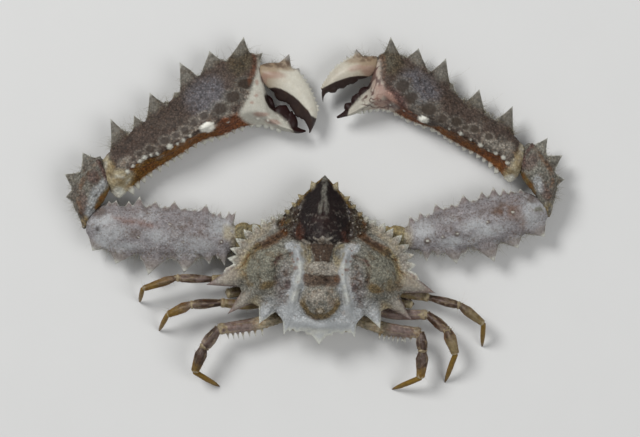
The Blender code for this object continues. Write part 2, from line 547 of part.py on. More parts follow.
def build_leg(side, number, collection, helpers):
    upper, knee, ankle, tip, widths = LEGS[side][number]
    hip, start = Vector(upper[0]), Vector(upper[-1])
    if number == FOLDED_PAIR:
        start.z -= FOLD_DROP
        hip = start * 2.0 - Vector(knee)
    stops = [hip, start, knee, ankle, tip]
    for index, piece in enumerate(LEG_PIECES):
        name = f"{side}_leg_{number}_{piece}"
        width = widths[index]
        points = upper if piece == "merus" else shank(*stops[index - 1:index + 2])
        end_width = {"merus": width * 0.85, "dactylus": TIP_WIDTH}.get(piece, width)
        finish_name = "amber_tip" if piece == "dactylus" else "leg_shell"
        rows = leg_rows(points, width, end_width)
        made = limb(name, rows, LEG_SECTION, 8, 5, collection, finish_name, blunt=0.5)
        if piece == "merus" and number == 4:
            bm = bmesh.new()
            for x, y in LEG_TEETH[side]:
                add_spine(bm, (x, y + 1.1, 4.4), (x, y, 4.0), 0.35, thickness=1.0, sides=5)
            join_spines(made, bm, helpers)


def main():
    clear_scene()
    crab = new_collection("elbow_crab")
    helpers = new_collection("cutters")
    frame = bpy.data.objects.new("body_frame", None)
    frame.location = Vector((BODY_X, BODY_Y, 0.0)) * MM
    frame.rotation_euler.z = math.radians(BODY_TURN)
    crab.objects.link(frame)
    shell = build_carapace(frame, crab, helpers)
    build_eyes(frame, shell, crab, helpers)
    build_sternum(frame, crab, helpers)
    build_tail(frame, crab)
    build_mouth_plates(frame, crab)
    for side in ("left", "right"):
        build_arm(side, crab, helpers)
        for number in LEGS[side]:
            build_leg(side, number, crab, helpers)


main()
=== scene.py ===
# The looks of a dried elbow crab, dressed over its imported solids.
# Lengths are millimetres until a mesh is written. X is across, Y is the way the crab faces.
import math

import bpy
import numpy as np
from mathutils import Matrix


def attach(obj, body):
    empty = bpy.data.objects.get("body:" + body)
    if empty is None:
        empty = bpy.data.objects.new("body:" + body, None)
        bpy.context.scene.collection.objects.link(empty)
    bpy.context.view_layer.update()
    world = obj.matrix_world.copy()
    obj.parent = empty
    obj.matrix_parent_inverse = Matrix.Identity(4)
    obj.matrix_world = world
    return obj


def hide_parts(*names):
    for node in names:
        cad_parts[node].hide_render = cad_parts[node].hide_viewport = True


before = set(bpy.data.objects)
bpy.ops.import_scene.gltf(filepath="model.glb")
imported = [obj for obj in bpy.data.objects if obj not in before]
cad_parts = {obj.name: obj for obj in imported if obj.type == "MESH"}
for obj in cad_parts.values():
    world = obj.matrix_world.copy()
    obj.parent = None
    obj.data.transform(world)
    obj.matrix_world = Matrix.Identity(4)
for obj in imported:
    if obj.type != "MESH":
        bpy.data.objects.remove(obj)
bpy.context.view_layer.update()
print("frame loaded")

mm = 0.001
palette = {  # screen colours, 0 to 255
    "chalk": (232, 231, 220), "bone": (192, 193, 183), "ivory": (196, 193, 180), "stain": (142, 124, 102),
    "cream": (160, 150, 124), "straw": (132, 118, 84), "shellPale": (142, 136, 126),
    "shellGrey": (114, 112, 104), "blueWhite": (168, 171, 172), "lilac": (128, 124, 125),
    "mauveGrey": (74, 64, 58), "blueGrey": (95, 93, 96), "slate": (60, 52, 45), "olive": (82, 78, 52),
    "orangeBrown": (94, 60, 31), "tawny": (112, 73, 39), "rust": (112, 70, 50), "umber": (48, 38, 31),
    "cocoa": (34, 22, 18), "sienna": (68, 54, 44), "horn": (42, 29, 23), "blush": (148, 118, 106),
    "plum": (84, 62, 58), "legBrown": (84, 67, 55), "legPink": (124, 110, 105), "ochre": (108, 86, 44),
    "amber": (74, 49, 22), "moss": (116, 115, 100), "gold": (118, 93, 40), "legMauve": (82, 66, 56),
    "legRed": (92, 60, 48), "knuckle": (150, 137, 110),
}
gloss = 0.010  # what the shell's own shine adds to its colour on screen, taken off the paint


def rgb(name):
    # The palette colour as linear light
    c = np.array(palette[name], float) / 255.0
    return np.maximum(np.where(c <= 0.04045, c / 12.92, ((c + 0.055) / 1.055) ** 2.4) - gloss, 0.002)


def unit(v):
    return v / np.maximum(np.linalg.norm(v, axis=-1, keepdims=True), 1e-9)


def ease(low, high, x):
    # 0 at low and 1 at high, with a smooth step between; low may be the larger
    t = np.clip((x - low) / (high - low), 0.0, 1.0)
    return t * t * (3.0 - 2.0 * t)


def catmull(rows, places, closed=False):
    # Value at a place among the rows, on the cubic through them whose slope at each row is half
    # the difference of its two neighbours
    rows = np.asarray(rows, float)
    spans = len(rows) if closed else len(rows) - 1
    cell = np.clip(np.floor(places).astype(int), 0, spans - 1)
    f = (places - cell)[..., None]

    def pick(k):
        return rows[(cell + k) % len(rows)] if closed else rows[np.clip(cell + k, 0, spans)]

    a, b, c, d = pick(-1), pick(0), pick(1), pick(2)
    return 0.5 * (2 * b + (c - a) * f + (2 * a - 5 * b + 4 * c - d) * f**2 + (3 * b - 3 * c + d - a) * f**3)


def packed(count, crowd):
    # Shares from 0 to 1 in count steps, the closer together at both ends the larger crowd is
    s = np.linspace(0.0, 1.0, count + 1)
    return s - crowd * np.sin(2.0 * np.pi * s) / (2.0 * np.pi)


def rounded(share, power):
    # 0 at both ends and 1 half way: (1 - (1 - 2 share)^2)^power
    return np.clip(1.0 - (1.0 - 2.0 * share) ** 2, 0.0, 1.0) ** power


def circle(count):
    return np.arange(count) / count * 2.0 * np.pi


def hashed(cells, seed):
    # A fixed pseudo-random number from 0 to 1 for each whole-number cell
    n = (cells[..., 0] * 73856093) ^ (cells[..., 1] * 19349663) ^ (cells[..., 2] * 83492791) ^ (seed * 7919)
    n = ((n ^ (n >> 13)) * 1274126177) & 0x7FFFFFFF
    n = ((n ^ (n >> 15)) * 668265263) & 0x7FFFFFFF
    return (n & 0xFFFFF) / 0xFFFFF


def cloud(points, size, seed, octaves=3):
    # Smooth noise from -1 to 1: corner values blended across each cell, in halving sizes. The seed is
    # any whole number, and picks the pattern.
    total, weight, scale = 0.0, 0.0, 1.0
    for octave in range(octaves):
        q = points / (size * scale)
        cell = np.floor(q).astype(np.int64)
        f = q - cell
        f = f * f * (3.0 - 2.0 * f)
        value = 0.0
        for corner in np.ndindex(2, 2, 2):
            share = np.prod(np.where(np.array(corner) == 1, f, 1.0 - f), axis=-1)
            value = value + share * hashed(cell + np.array(corner), seed + octave)
        total, weight, scale = total + value * scale, weight + scale, scale / 2.0
    return 2.0 * total / weight - 1.0


def grains(points, size, seed):
    # Rounded beads: 1 at the heart of each cell of a jittered lattice, falling to 0 between them
    q = points / size
    cell = np.floor(q).astype(np.int64)
    nearest = np.full(len(points), 9.0)
    for step in np.ndindex(3, 3, 3):
        near = cell + np.array(step) - 1
        heart = near + 0.15 + 0.7 * np.stack([hashed(near, seed + k) for k in range(3)], axis=-1)
        nearest = np.minimum(nearest, np.sum((q - heart) ** 2, axis=-1))
    return np.clip(1.0 - nearest / 0.30, 0.0, 1.0)


def lineDistance(x, y, points):
    # How far each place is from a broken line
    best = np.full(np.shape(x), 1e9)
    for (ax, ay), (bx, by) in zip(points, points[1:]):
        lx, ly = bx - ax, by - ay
        t = np.clip(((x - ax) * lx + (y - ay) * ly) / (lx * lx + ly * ly), 0.0, 1.0)
        best = np.minimum(best, np.hypot(x - ax - t * lx, y - ay - t * ly))
    return best


def patch(x, y, cx, cy, rx, ry, turn=0.0, soft=0.4):
    # 1 inside a turned ellipse and 0 outside it, easing across its edge
    c, s = math.cos(math.radians(turn)), math.sin(math.radians(turn))
    u, v = ((x - cx) * c + (y - cy) * s) / rx, ((y - cy) * c - (x - cx) * s) / ry
    return ease(1.0 + soft, 1.0 - soft, np.hypot(u, v))


def region(x, y, corners, soft=0.25):
    # 1 inside a closed outline and 0 outside it, easing over soft on each side of the line. A place
    # is inside where a ray from it crosses the outline an odd number of times.
    inside = np.zeros(np.shape(x), bool)
    loop = list(zip(corners, corners[1:] + corners[:1]))
    for (ax, ay), (bx, by) in loop:
        if ay != by:
            inside ^= ((ay > y) != (by > y)) & (x < (bx - ax) * (y - ay) / (by - ay) + ax)
    away = lineDistance(x, y, corners + corners[:1])
    return ease(-soft, soft, np.where(inside, away, -away))


def normalsOf(grid):
    # Cross product of the two grid directions, turned away from each ring's middle
    around = np.roll(grid, -1, axis=1) - np.roll(grid, 1, axis=1)
    along = np.gradient(grid, axis=0)
    normal = unit(np.cross(around, along))
    outward = grid - grid.mean(axis=1, keepdims=True)
    if np.sum(normal * outward) < 0.0:
        normal = -normal
    normal[0], normal[-1] = unit(normal[1].mean(axis=0)), unit(normal[-2].mean(axis=0))
    return normal


def writeMesh(name, vertices, faces, paint=None, calm=None):
    # One mesh object in metres at the origin, with its colours and its calm places as attributes
    mesh = bpy.data.meshes.new(name)
    mesh.from_pydata((vertices * mm).tolist(), [], faces)
    mesh.shade_smooth()
    if paint is not None:
        colours = np.ones((len(vertices), 4), np.float32)
        colours[:, :3] = np.clip(paint, 0.0, 1.0)
        mesh.attributes.new("paint", "FLOAT_COLOR", "POINT").data.foreach_set("color", colours.ravel())
    if calm is not None:
        data = np.clip(calm, 0.0, 1.0).astype(np.float32)
        mesh.attributes.new("calm", "FLOAT", "POINT").data.foreach_set("value", data)
    made = bpy.data.objects.new(name, mesh)
    bpy.context.scene.collection.objects.link(made)
    return made


def gridFaces(rings, around, flip):
    # Quads between rings, and a fan at each pole; vertex 0 is the first pole and the last is the other
    starts = 1 + np.arange(rings - 1)[:, None] * around
    base, nxt = starts + np.arange(around), starts + (np.arange(around) + 1) % around
    quads = np.stack([base[:-1], nxt[:-1], nxt[1:], base[1:]], axis=-1).reshape(-1, 4)
    last = 1 + (rings - 1) * around
    first = np.stack([np.zeros(around, int), nxt[0], base[0]], axis=-1)
    final = np.stack([np.full(around, last), base[-1], nxt[-1]], axis=-1)
    if flip:
        quads, first, final = quads[:, ::-1], first[:, ::-1], final[:, ::-1]
    return quads.tolist() + first.tolist() + final.tolist()


def flat(grid):
    # The grid's values as one list, with each collapsed end ring as a single value
    return np.concatenate([grid[:1, 0], grid[1:-1].reshape((-1,) + grid.shape[2:]), grid[-1:, 0]])


def closedShell(name, grid, paint, calm):
    # The grid as a closed mesh whose volume is positive, so that its faces point outwards. Nothing
    # reaches below the level it rests on.
    vertices = flat(grid)
    vertices[:, 2] = np.maximum(vertices[:, 2], 0.0)
    rings, around = grid.shape[0] - 1, grid.shape[1]
    faces = gridFaces(rings, around, False)
    a, b, c, d = (vertices[[f[k] for f in faces]] for k in (0, 1, 2, -1))
    if np.sum(np.cross(a, b) * c) + np.sum(np.cross(a, c) * d) < 0.0:
        faces = gridFaces(rings, around, True)
    return writeMesh(name, vertices, faces, flat(paint), flat(np.broadcast_to(calm, grid.shape[:2])))


# Shader maths

class Field:
    # One socket on its way through a material, with arithmetic that adds Math nodes
    def __init__(self, tree, socket=None):
        self.tree, self.socket = tree, socket

    def make(self, kind, settings=None, values=None, output=0):
        node = self.tree.nodes.new(kind)
        for key, value in (settings or {}).items():
            setattr(node, key, value)
        for key, value in (values or {}).items():
            if isinstance(value, Field):
                self.tree.links.new(value.socket, node.inputs[key])
            else:
                node.inputs[key].default_value = value
        return Field(self.tree, node.outputs[output])

    def twin(self, output):
        # Another output of the same node
        return Field(self.tree, self.socket.node.outputs[output])

    def maths(self, operation, first, second):
        return self.make("ShaderNodeMath", {"operation": operation}, {0: first, 1: second})

    def __add__(self, other):
        return self.maths("ADD", self, other)

    def __radd__(self, other):
        return self.maths("ADD", other, self)

    def __sub__(self, other):
        return self.maths("SUBTRACT", self, other)

    def __rsub__(self, other):
        return self.maths("SUBTRACT", other, self)

    def __mul__(self, other):
        return self.maths("MULTIPLY", self, other)

    def __rmul__(self, other):
        return self.maths("MULTIPLY", other, self)

    def between(self, low, high):
        # 0 below low, 1 above high
        return self.make("ShaderNodeMapRange", {"interpolation_type": "SMOOTHSTEP"},
                         {"Value": self, "From Min": low, "From Max": high})

    def mixed(self, first, second):
        # first where this is 0 and second where it is 1
        return self.make("ShaderNodeMix", {"data_type": "RGBA"}, {"Factor": self, 6: first, 7: second}, 2)

    def scaled(self, factor):
        return self.make("ShaderNodeVectorMath", {"operation": "SCALE"}, {0: self, "Scale": factor})

    def noise(self, scale, detail, roughness=0.5):
        # Noise at this place
        values = {"Vector": self, "Scale": scale, "Detail": detail, "Roughness": roughness}
        return self.make("ShaderNodeTexNoise", None, values, "Fac")

    def feed(self, shader, name):
        self.tree.links.new(self.socket, shader.inputs[name])


def newMaterial(name):
    # A material, its shader and the field that its nodes start from
    material = bpy.data.materials.new(name)
    material.use_nodes = True
    shader = material.node_tree.nodes["Principled BSDF"]
    return material, shader, Field(material.node_tree)


def shellFinish(name, look):
    # Painted shell: paint x (1 + speckle), where speckle = a random tint for each bead, darker between
    # the beads, and two sizes of noise. Brown flecks lie over it. Where calm is 1 the surface is plain
    # and smoother, as on ivory and spine tips.
    material, shader, start = newMaterial(name)
    place = start.make("ShaderNodeTexCoord", output="Object")
    paint = start.make("ShaderNodeAttribute", {"attribute_name": "paint"}, output="Color")
    calm = start.make("ShaderNodeAttribute", {"attribute_name": "calm"}, output="Fac")
    mist, broad = place.noise(look["mistScale"], 4.0, 0.65), place.noise(look["broadScale"], 3.0)
    fleck, speck = place.noise(look["fleckScale"], 2.0), place.noise(look["speckScale"], 1.0)
    bead = start.make("ShaderNodeTexVoronoi", None,
                      {"Vector": place, "Scale": look["beadScale"], "Randomness": 1.0}, "Distance")
    tint = start.make("ShaderNodeSeparateColor", None, {"Color": bead.twin("Color")}, "Red")
    crown = 1.0 - bead.between(0.15, 0.75)
    rough = 1.0 - calm * look["calmShare"]
    speckle = ((tint - 0.5) * crown * look["dots"] + (crown - 0.5) * look["bead"]
               + (mist - 0.5) * look["mist"] + (broad - 0.5) * look["broad"]) * rough
    spots = fleck.between(0.56, 0.66) * look["flecks"] + speck.between(0.54, 0.64) * look["specks"]
    colour = (spots * rough).mixed(
        paint, paint.make("ShaderNodeMix", {"data_type": "RGBA", "blend_type": "MULTIPLY"},
                          {"Factor": 1.0, 6: paint, 7: look["fleckTint"]}, 2))
    colour = colour.scaled(1.0 + speckle)
    bump = start.make("ShaderNodeBump", None, {"Strength": look["bump"], "Distance": look["bumpDepth"] * mm,
                                               "Height": (crown * 0.7 + mist * 0.6) * rough})
    colour.feed(shader, "Base Color")
    (look["roughness"] + (mist - 0.5) * 0.25 - calm * look["polish"]).feed(shader, "Roughness")
    bump.feed(shader, "Normal")
    shader.inputs["Specular IOR Level"].default_value = look["specular"]
    return material


clawLook = {
    "mistScale": 1500.0, "beadScale": 2200.0, "broadScale": 260.0, "fleckScale": 620.0, "speckScale": 2600.0,
    "mist": 2.2, "bead": 0.6, "dots": 0.6, "broad": 0.7, "flecks": 0.5, "specks": 0.5,
    "fleckTint": (0.74, 0.60, 0.50, 1.0), "bump": 0.7, "bumpDepth": 0.14, "roughness": 0.68, "polish": 0.24,
    "calmShare": 0.9, "specular": 0.22,
}
armLook = dict(clawLook, mist=1.3, bead=0.2, dots=0.25, broad=0.4, flecks=0.3, specks=0.75, bump=0.4,
               fleckTint=(0.60, 0.52, 0.46, 1.0), roughness=0.6, calmShare=0.75)
bodyLook = dict(clawLook, mist=2.1, bead=0.55, dots=0.45, broad=0.9, flecks=0.6, fleckScale=430.0,
                beadScale=2300.0)
legLook = dict(clawLook, mist=1.9, bead=0.1, dots=0.15, broad=1.1, flecks=0.7, specks=0.35, bump=0.4,
               roughness=0.5, fleckScale=800.0, specular=0.25)
bellyLook = dict(legLook, mist=1.0, broad=0.7, flecks=0.4, specks=0.1, roughness=0.5)
ivoryLook = dict(clawLook, mist=0.9, dots=0.3, bead=0.15, flecks=0.4, specks=0.2, roughness=0.56, polish=0.14,
                 calmShare=0.75, specular=0.3, bump=0.25, broad=0.6)
eyeLook = dict(legLook, dots=0.6, bead=0.9, beadScale=5200.0, specks=0.0, roughness=0.22, bump=0.7,
               bumpDepth=0.05)
clawShell = shellFinish("claw_shell_look", clawLook)
armShell = shellFinish("arm_look", armLook)
bodyShell = shellFinish("carapace_look", bodyLook)
legShell = shellFinish("leg_look", legLook)
bellyShell = shellFinish("belly_look", bellyLook)
ivoryShell = shellFinish("ivory_look", ivoryLook)
eyeShell = shellFinish("eye_look", eyeLook)
print("materials ready")


# Shaping tools for limbs and shell

def limbGrid(rows, section, mesh, warp=None, blunt=0.35):
    # Point = outer edge + (inner edge - outer edge) x across, at mid height + level x (rise or drop).
    # The section shrinks towards each end as (1 - (1 - 2 share)^2)^(blunt / 2). A warp raises across
    # to a power that changes along the limb, which moves the crest sideways.
    around, along = mesh
    share = packed(along, 0.9)
    row = catmull(rows, share * (len(rows) - 1))[:, None, :]
    ring = catmull(section, np.arange(around) / around * len(section), closed=True)[None, :, :]
    size = rounded(share, blunt / 2.0)[:, None]
    across = np.broadcast_to(ring[..., 0], (along + 1, around))
    if warp:
        inside = np.clip(across, 0.0, 1.0)
        across = inside ** np.interp(share, *warp)[:, None] + across - inside
    across = 0.5 + (across - 0.5) * size
    level = ring[..., 1] * size
    xy = row[..., 0:2] + (row[..., 2:4] - row[..., 0:2]) * across[..., None]
    z = row[..., 4] + level * np.where(level > 0.0, row[..., 5], row[..., 6])
    grid = np.concatenate([xy, np.maximum(z, 0.0)[..., None]], axis=-1)
    spread = np.broadcast_to(share[:, None], across.shape)
    return grid, {"share": spread, "across": across, "level": level}


def raiseSpines(grid, spines, edge, thick=1.3, reach=1.0, power=1.15, lift=0.3):
    # Each spine pulls the surface, in place, from its root to its tip. It starts at the outermost
    # place near its root. The pull is (1 - d)^power, with d the distance from there in half widths
    # sideways, in thick upright and in reach x length inwards.
    points = grid.reshape(-1, 3)
    pull = np.zeros(len(points))
    for rootX, rootY, tipX, tipY, halfWidth in spines:
        root = np.array([rootX, rootY, edge])
        tip = np.array([tipX, tipY, edge + lift])
        forward = unit(tip - root)
        side = unit(np.cross(forward, [0.0, 0.0, 1.0]))
        away = points - root
        near = (np.abs(away @ side) < 0.35) & (np.abs(away[:, 2]) < 1.2) & (away @ forward < 4.0)
        reachOut = np.where(near, away @ forward, -1e9)
        start = points[np.argmax(reachOut)].copy()
        way = tip - start
        length = np.linalg.norm(way)
        away = points - start
        d = np.sqrt((away @ side / (halfWidth * 1.22)) ** 2 + (away[:, 2] / thick) ** 2
                    + (away @ forward / max(reach * length, 0.6)) ** 2)
        w = np.clip(1.0 - d, 0.0, 1.0) ** power
        points += w[:, None] * way
        pull = np.maximum(pull, w)
    return pull.reshape(grid.shape[:2])


def raiseBumps(grid, normals, bumps):
    # Each bump lifts the surface, in place, along its normal by height x (1 - d^2)^2, d in its radii
    points, aim = grid.reshape(-1, 3), normals.reshape(-1, 3)
    mask = np.zeros(len(points))
    for x, y, radius, height in bumps:
        plan = np.where(aim[:, 2] > 0.1, np.hypot(points[:, 0] - x, points[:, 1] - y), 1e9)
        heart = points[np.argmin(plan)]
        d = np.clip(np.linalg.norm(points - heart, axis=1) / radius, 0.0, 1.0)
        w = (1.0 - d * d) ** 2
        points += w[:, None] * height * aim
        mask = np.maximum(mask, w)
    return mask.reshape(grid.shape[:2])


def edgeBeads(rows, count, low, high, halfWidth, length):
    # Evenly spaced small teeth along the inner edge, pointing away from the outer edge
    share = np.linspace(low, high, count)
    row = catmull(rows, share * (len(rows) - 1))
    inward = unit(row[:, 2:4] - row[:, 0:2])
    size = 0.8 + 0.4 * hashed(np.stack([np.arange(count)] * 3, axis=-1), 5)
    root = row[:, 2:4] - inward * 0.1
    tip = root + inward * (length * size)[:, None]
    return [(*r, *t, halfWidth * s) for r, t, s in zip(root, tip, size)]


def firstCoat(grid, first):
    # Paint for every place of a grid, and the function that lays a colour over it where a mask is
    paint = np.broadcast_to(rgb(first), grid.shape).copy()

    def lay(mask, colour, strength=1.0):
        paint[...] += (mask * strength)[..., None] * (rgb(colour) - paint)

    return paint, lay


def layStrokes(lay, x, y, strokes, colour, strength, fade=1.0, soft=0.4):
    # One colour over each ellipse in a list
    for stroke in strokes:
        lay(patch(x, y, *stroke, soft=soft) * fade, colour, strength)


def edgeLine(normals, across, pull):
    # The thin line along an outer edge and down both sides of its spines
    spiny, steep = ease(0.05, 0.15, pull), ease(0.7, 0.25, np.abs(normals[..., 2]))
    return np.maximum(0.5 * ease(0.03, 0.0, across) * (1.0 - spiny), steep * spiny)


def wander(points, size, amount, seed):
    # Shifts places a little, so that a patch's edge isn't a plain ellipse
    return [points[..., k] + amount * cloudOn(points, size, seed + 50 * k) for k in (0, 1)]


def cloudOn(grid, size, seed, octaves=3):
    return cloud(grid.reshape(-1, 3), size, seed, octaves).reshape(grid.shape[:2])


def grainsOn(grid, size, seed):
    return grains(grid.reshape(-1, 3), size, seed).reshape(grid.shape[:2])


def dress(piece, material, nodes, slot):
    piece.data.materials.append(material)
    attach(piece, "root")
    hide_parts(*nodes)


hairs = {}  # each maker adds its own: grid, normals, where they grow, count, length, colour

armSection = [
    (0.0, 0.0), (0.12, 0.60), (0.50, 1.0), (0.88, 0.60), (1.0, 0.0), (0.86, -0.72), (0.50, -1.0),
    (0.14, -0.72),
]
palmSection = [
    (0.0, 0.0), (0.20, 0.50), (0.52, 0.86), (0.80, 1.0), (0.92, 0.40), (1.0, -0.25), (0.78, -0.85),
    (0.45, -1.0), (0.15, -0.60),
]

clawForms = {  # mesh steps around and along, height of the edge, swell and granules as height and size
    "palm": {
        "mesh": (168, 250), "edge": 4.4, "swell": (0.12, 2.6), "granules": (0.09, 0.62), "hairs": (420, 1.3),
    },
    "finger": {"mesh": (110, 130), "edge": 4.3, "granules": (0.07, 0.6), "hairs": (60, 0.9)},
    "wrist": {
        "mesh": (120, 130), "edge": 4.4, "swell": (0.16, 2.2), "granules": (0.10, 0.62), "hairs": (160, 1.0),
    },
    "arm": {
        "mesh": (144, 190), "edge": 4.3, "swell": (0.18, 3.0), "granules": (0.04, 0.62), "hairs": (420, 1.1),
    },
    "armBase": {"mesh": (64, 60), "swell": (0.16, 1.6), "hairs": (90, 1.1)},
}


def roughSurface(grid, normals, relief, seed, where=1.0, kind=grainsOn):
    # Relief of a height and a size along the normals, in place
    height, size = relief
    grid += (height * kind(grid, size, seed) * where)[..., None] * normals


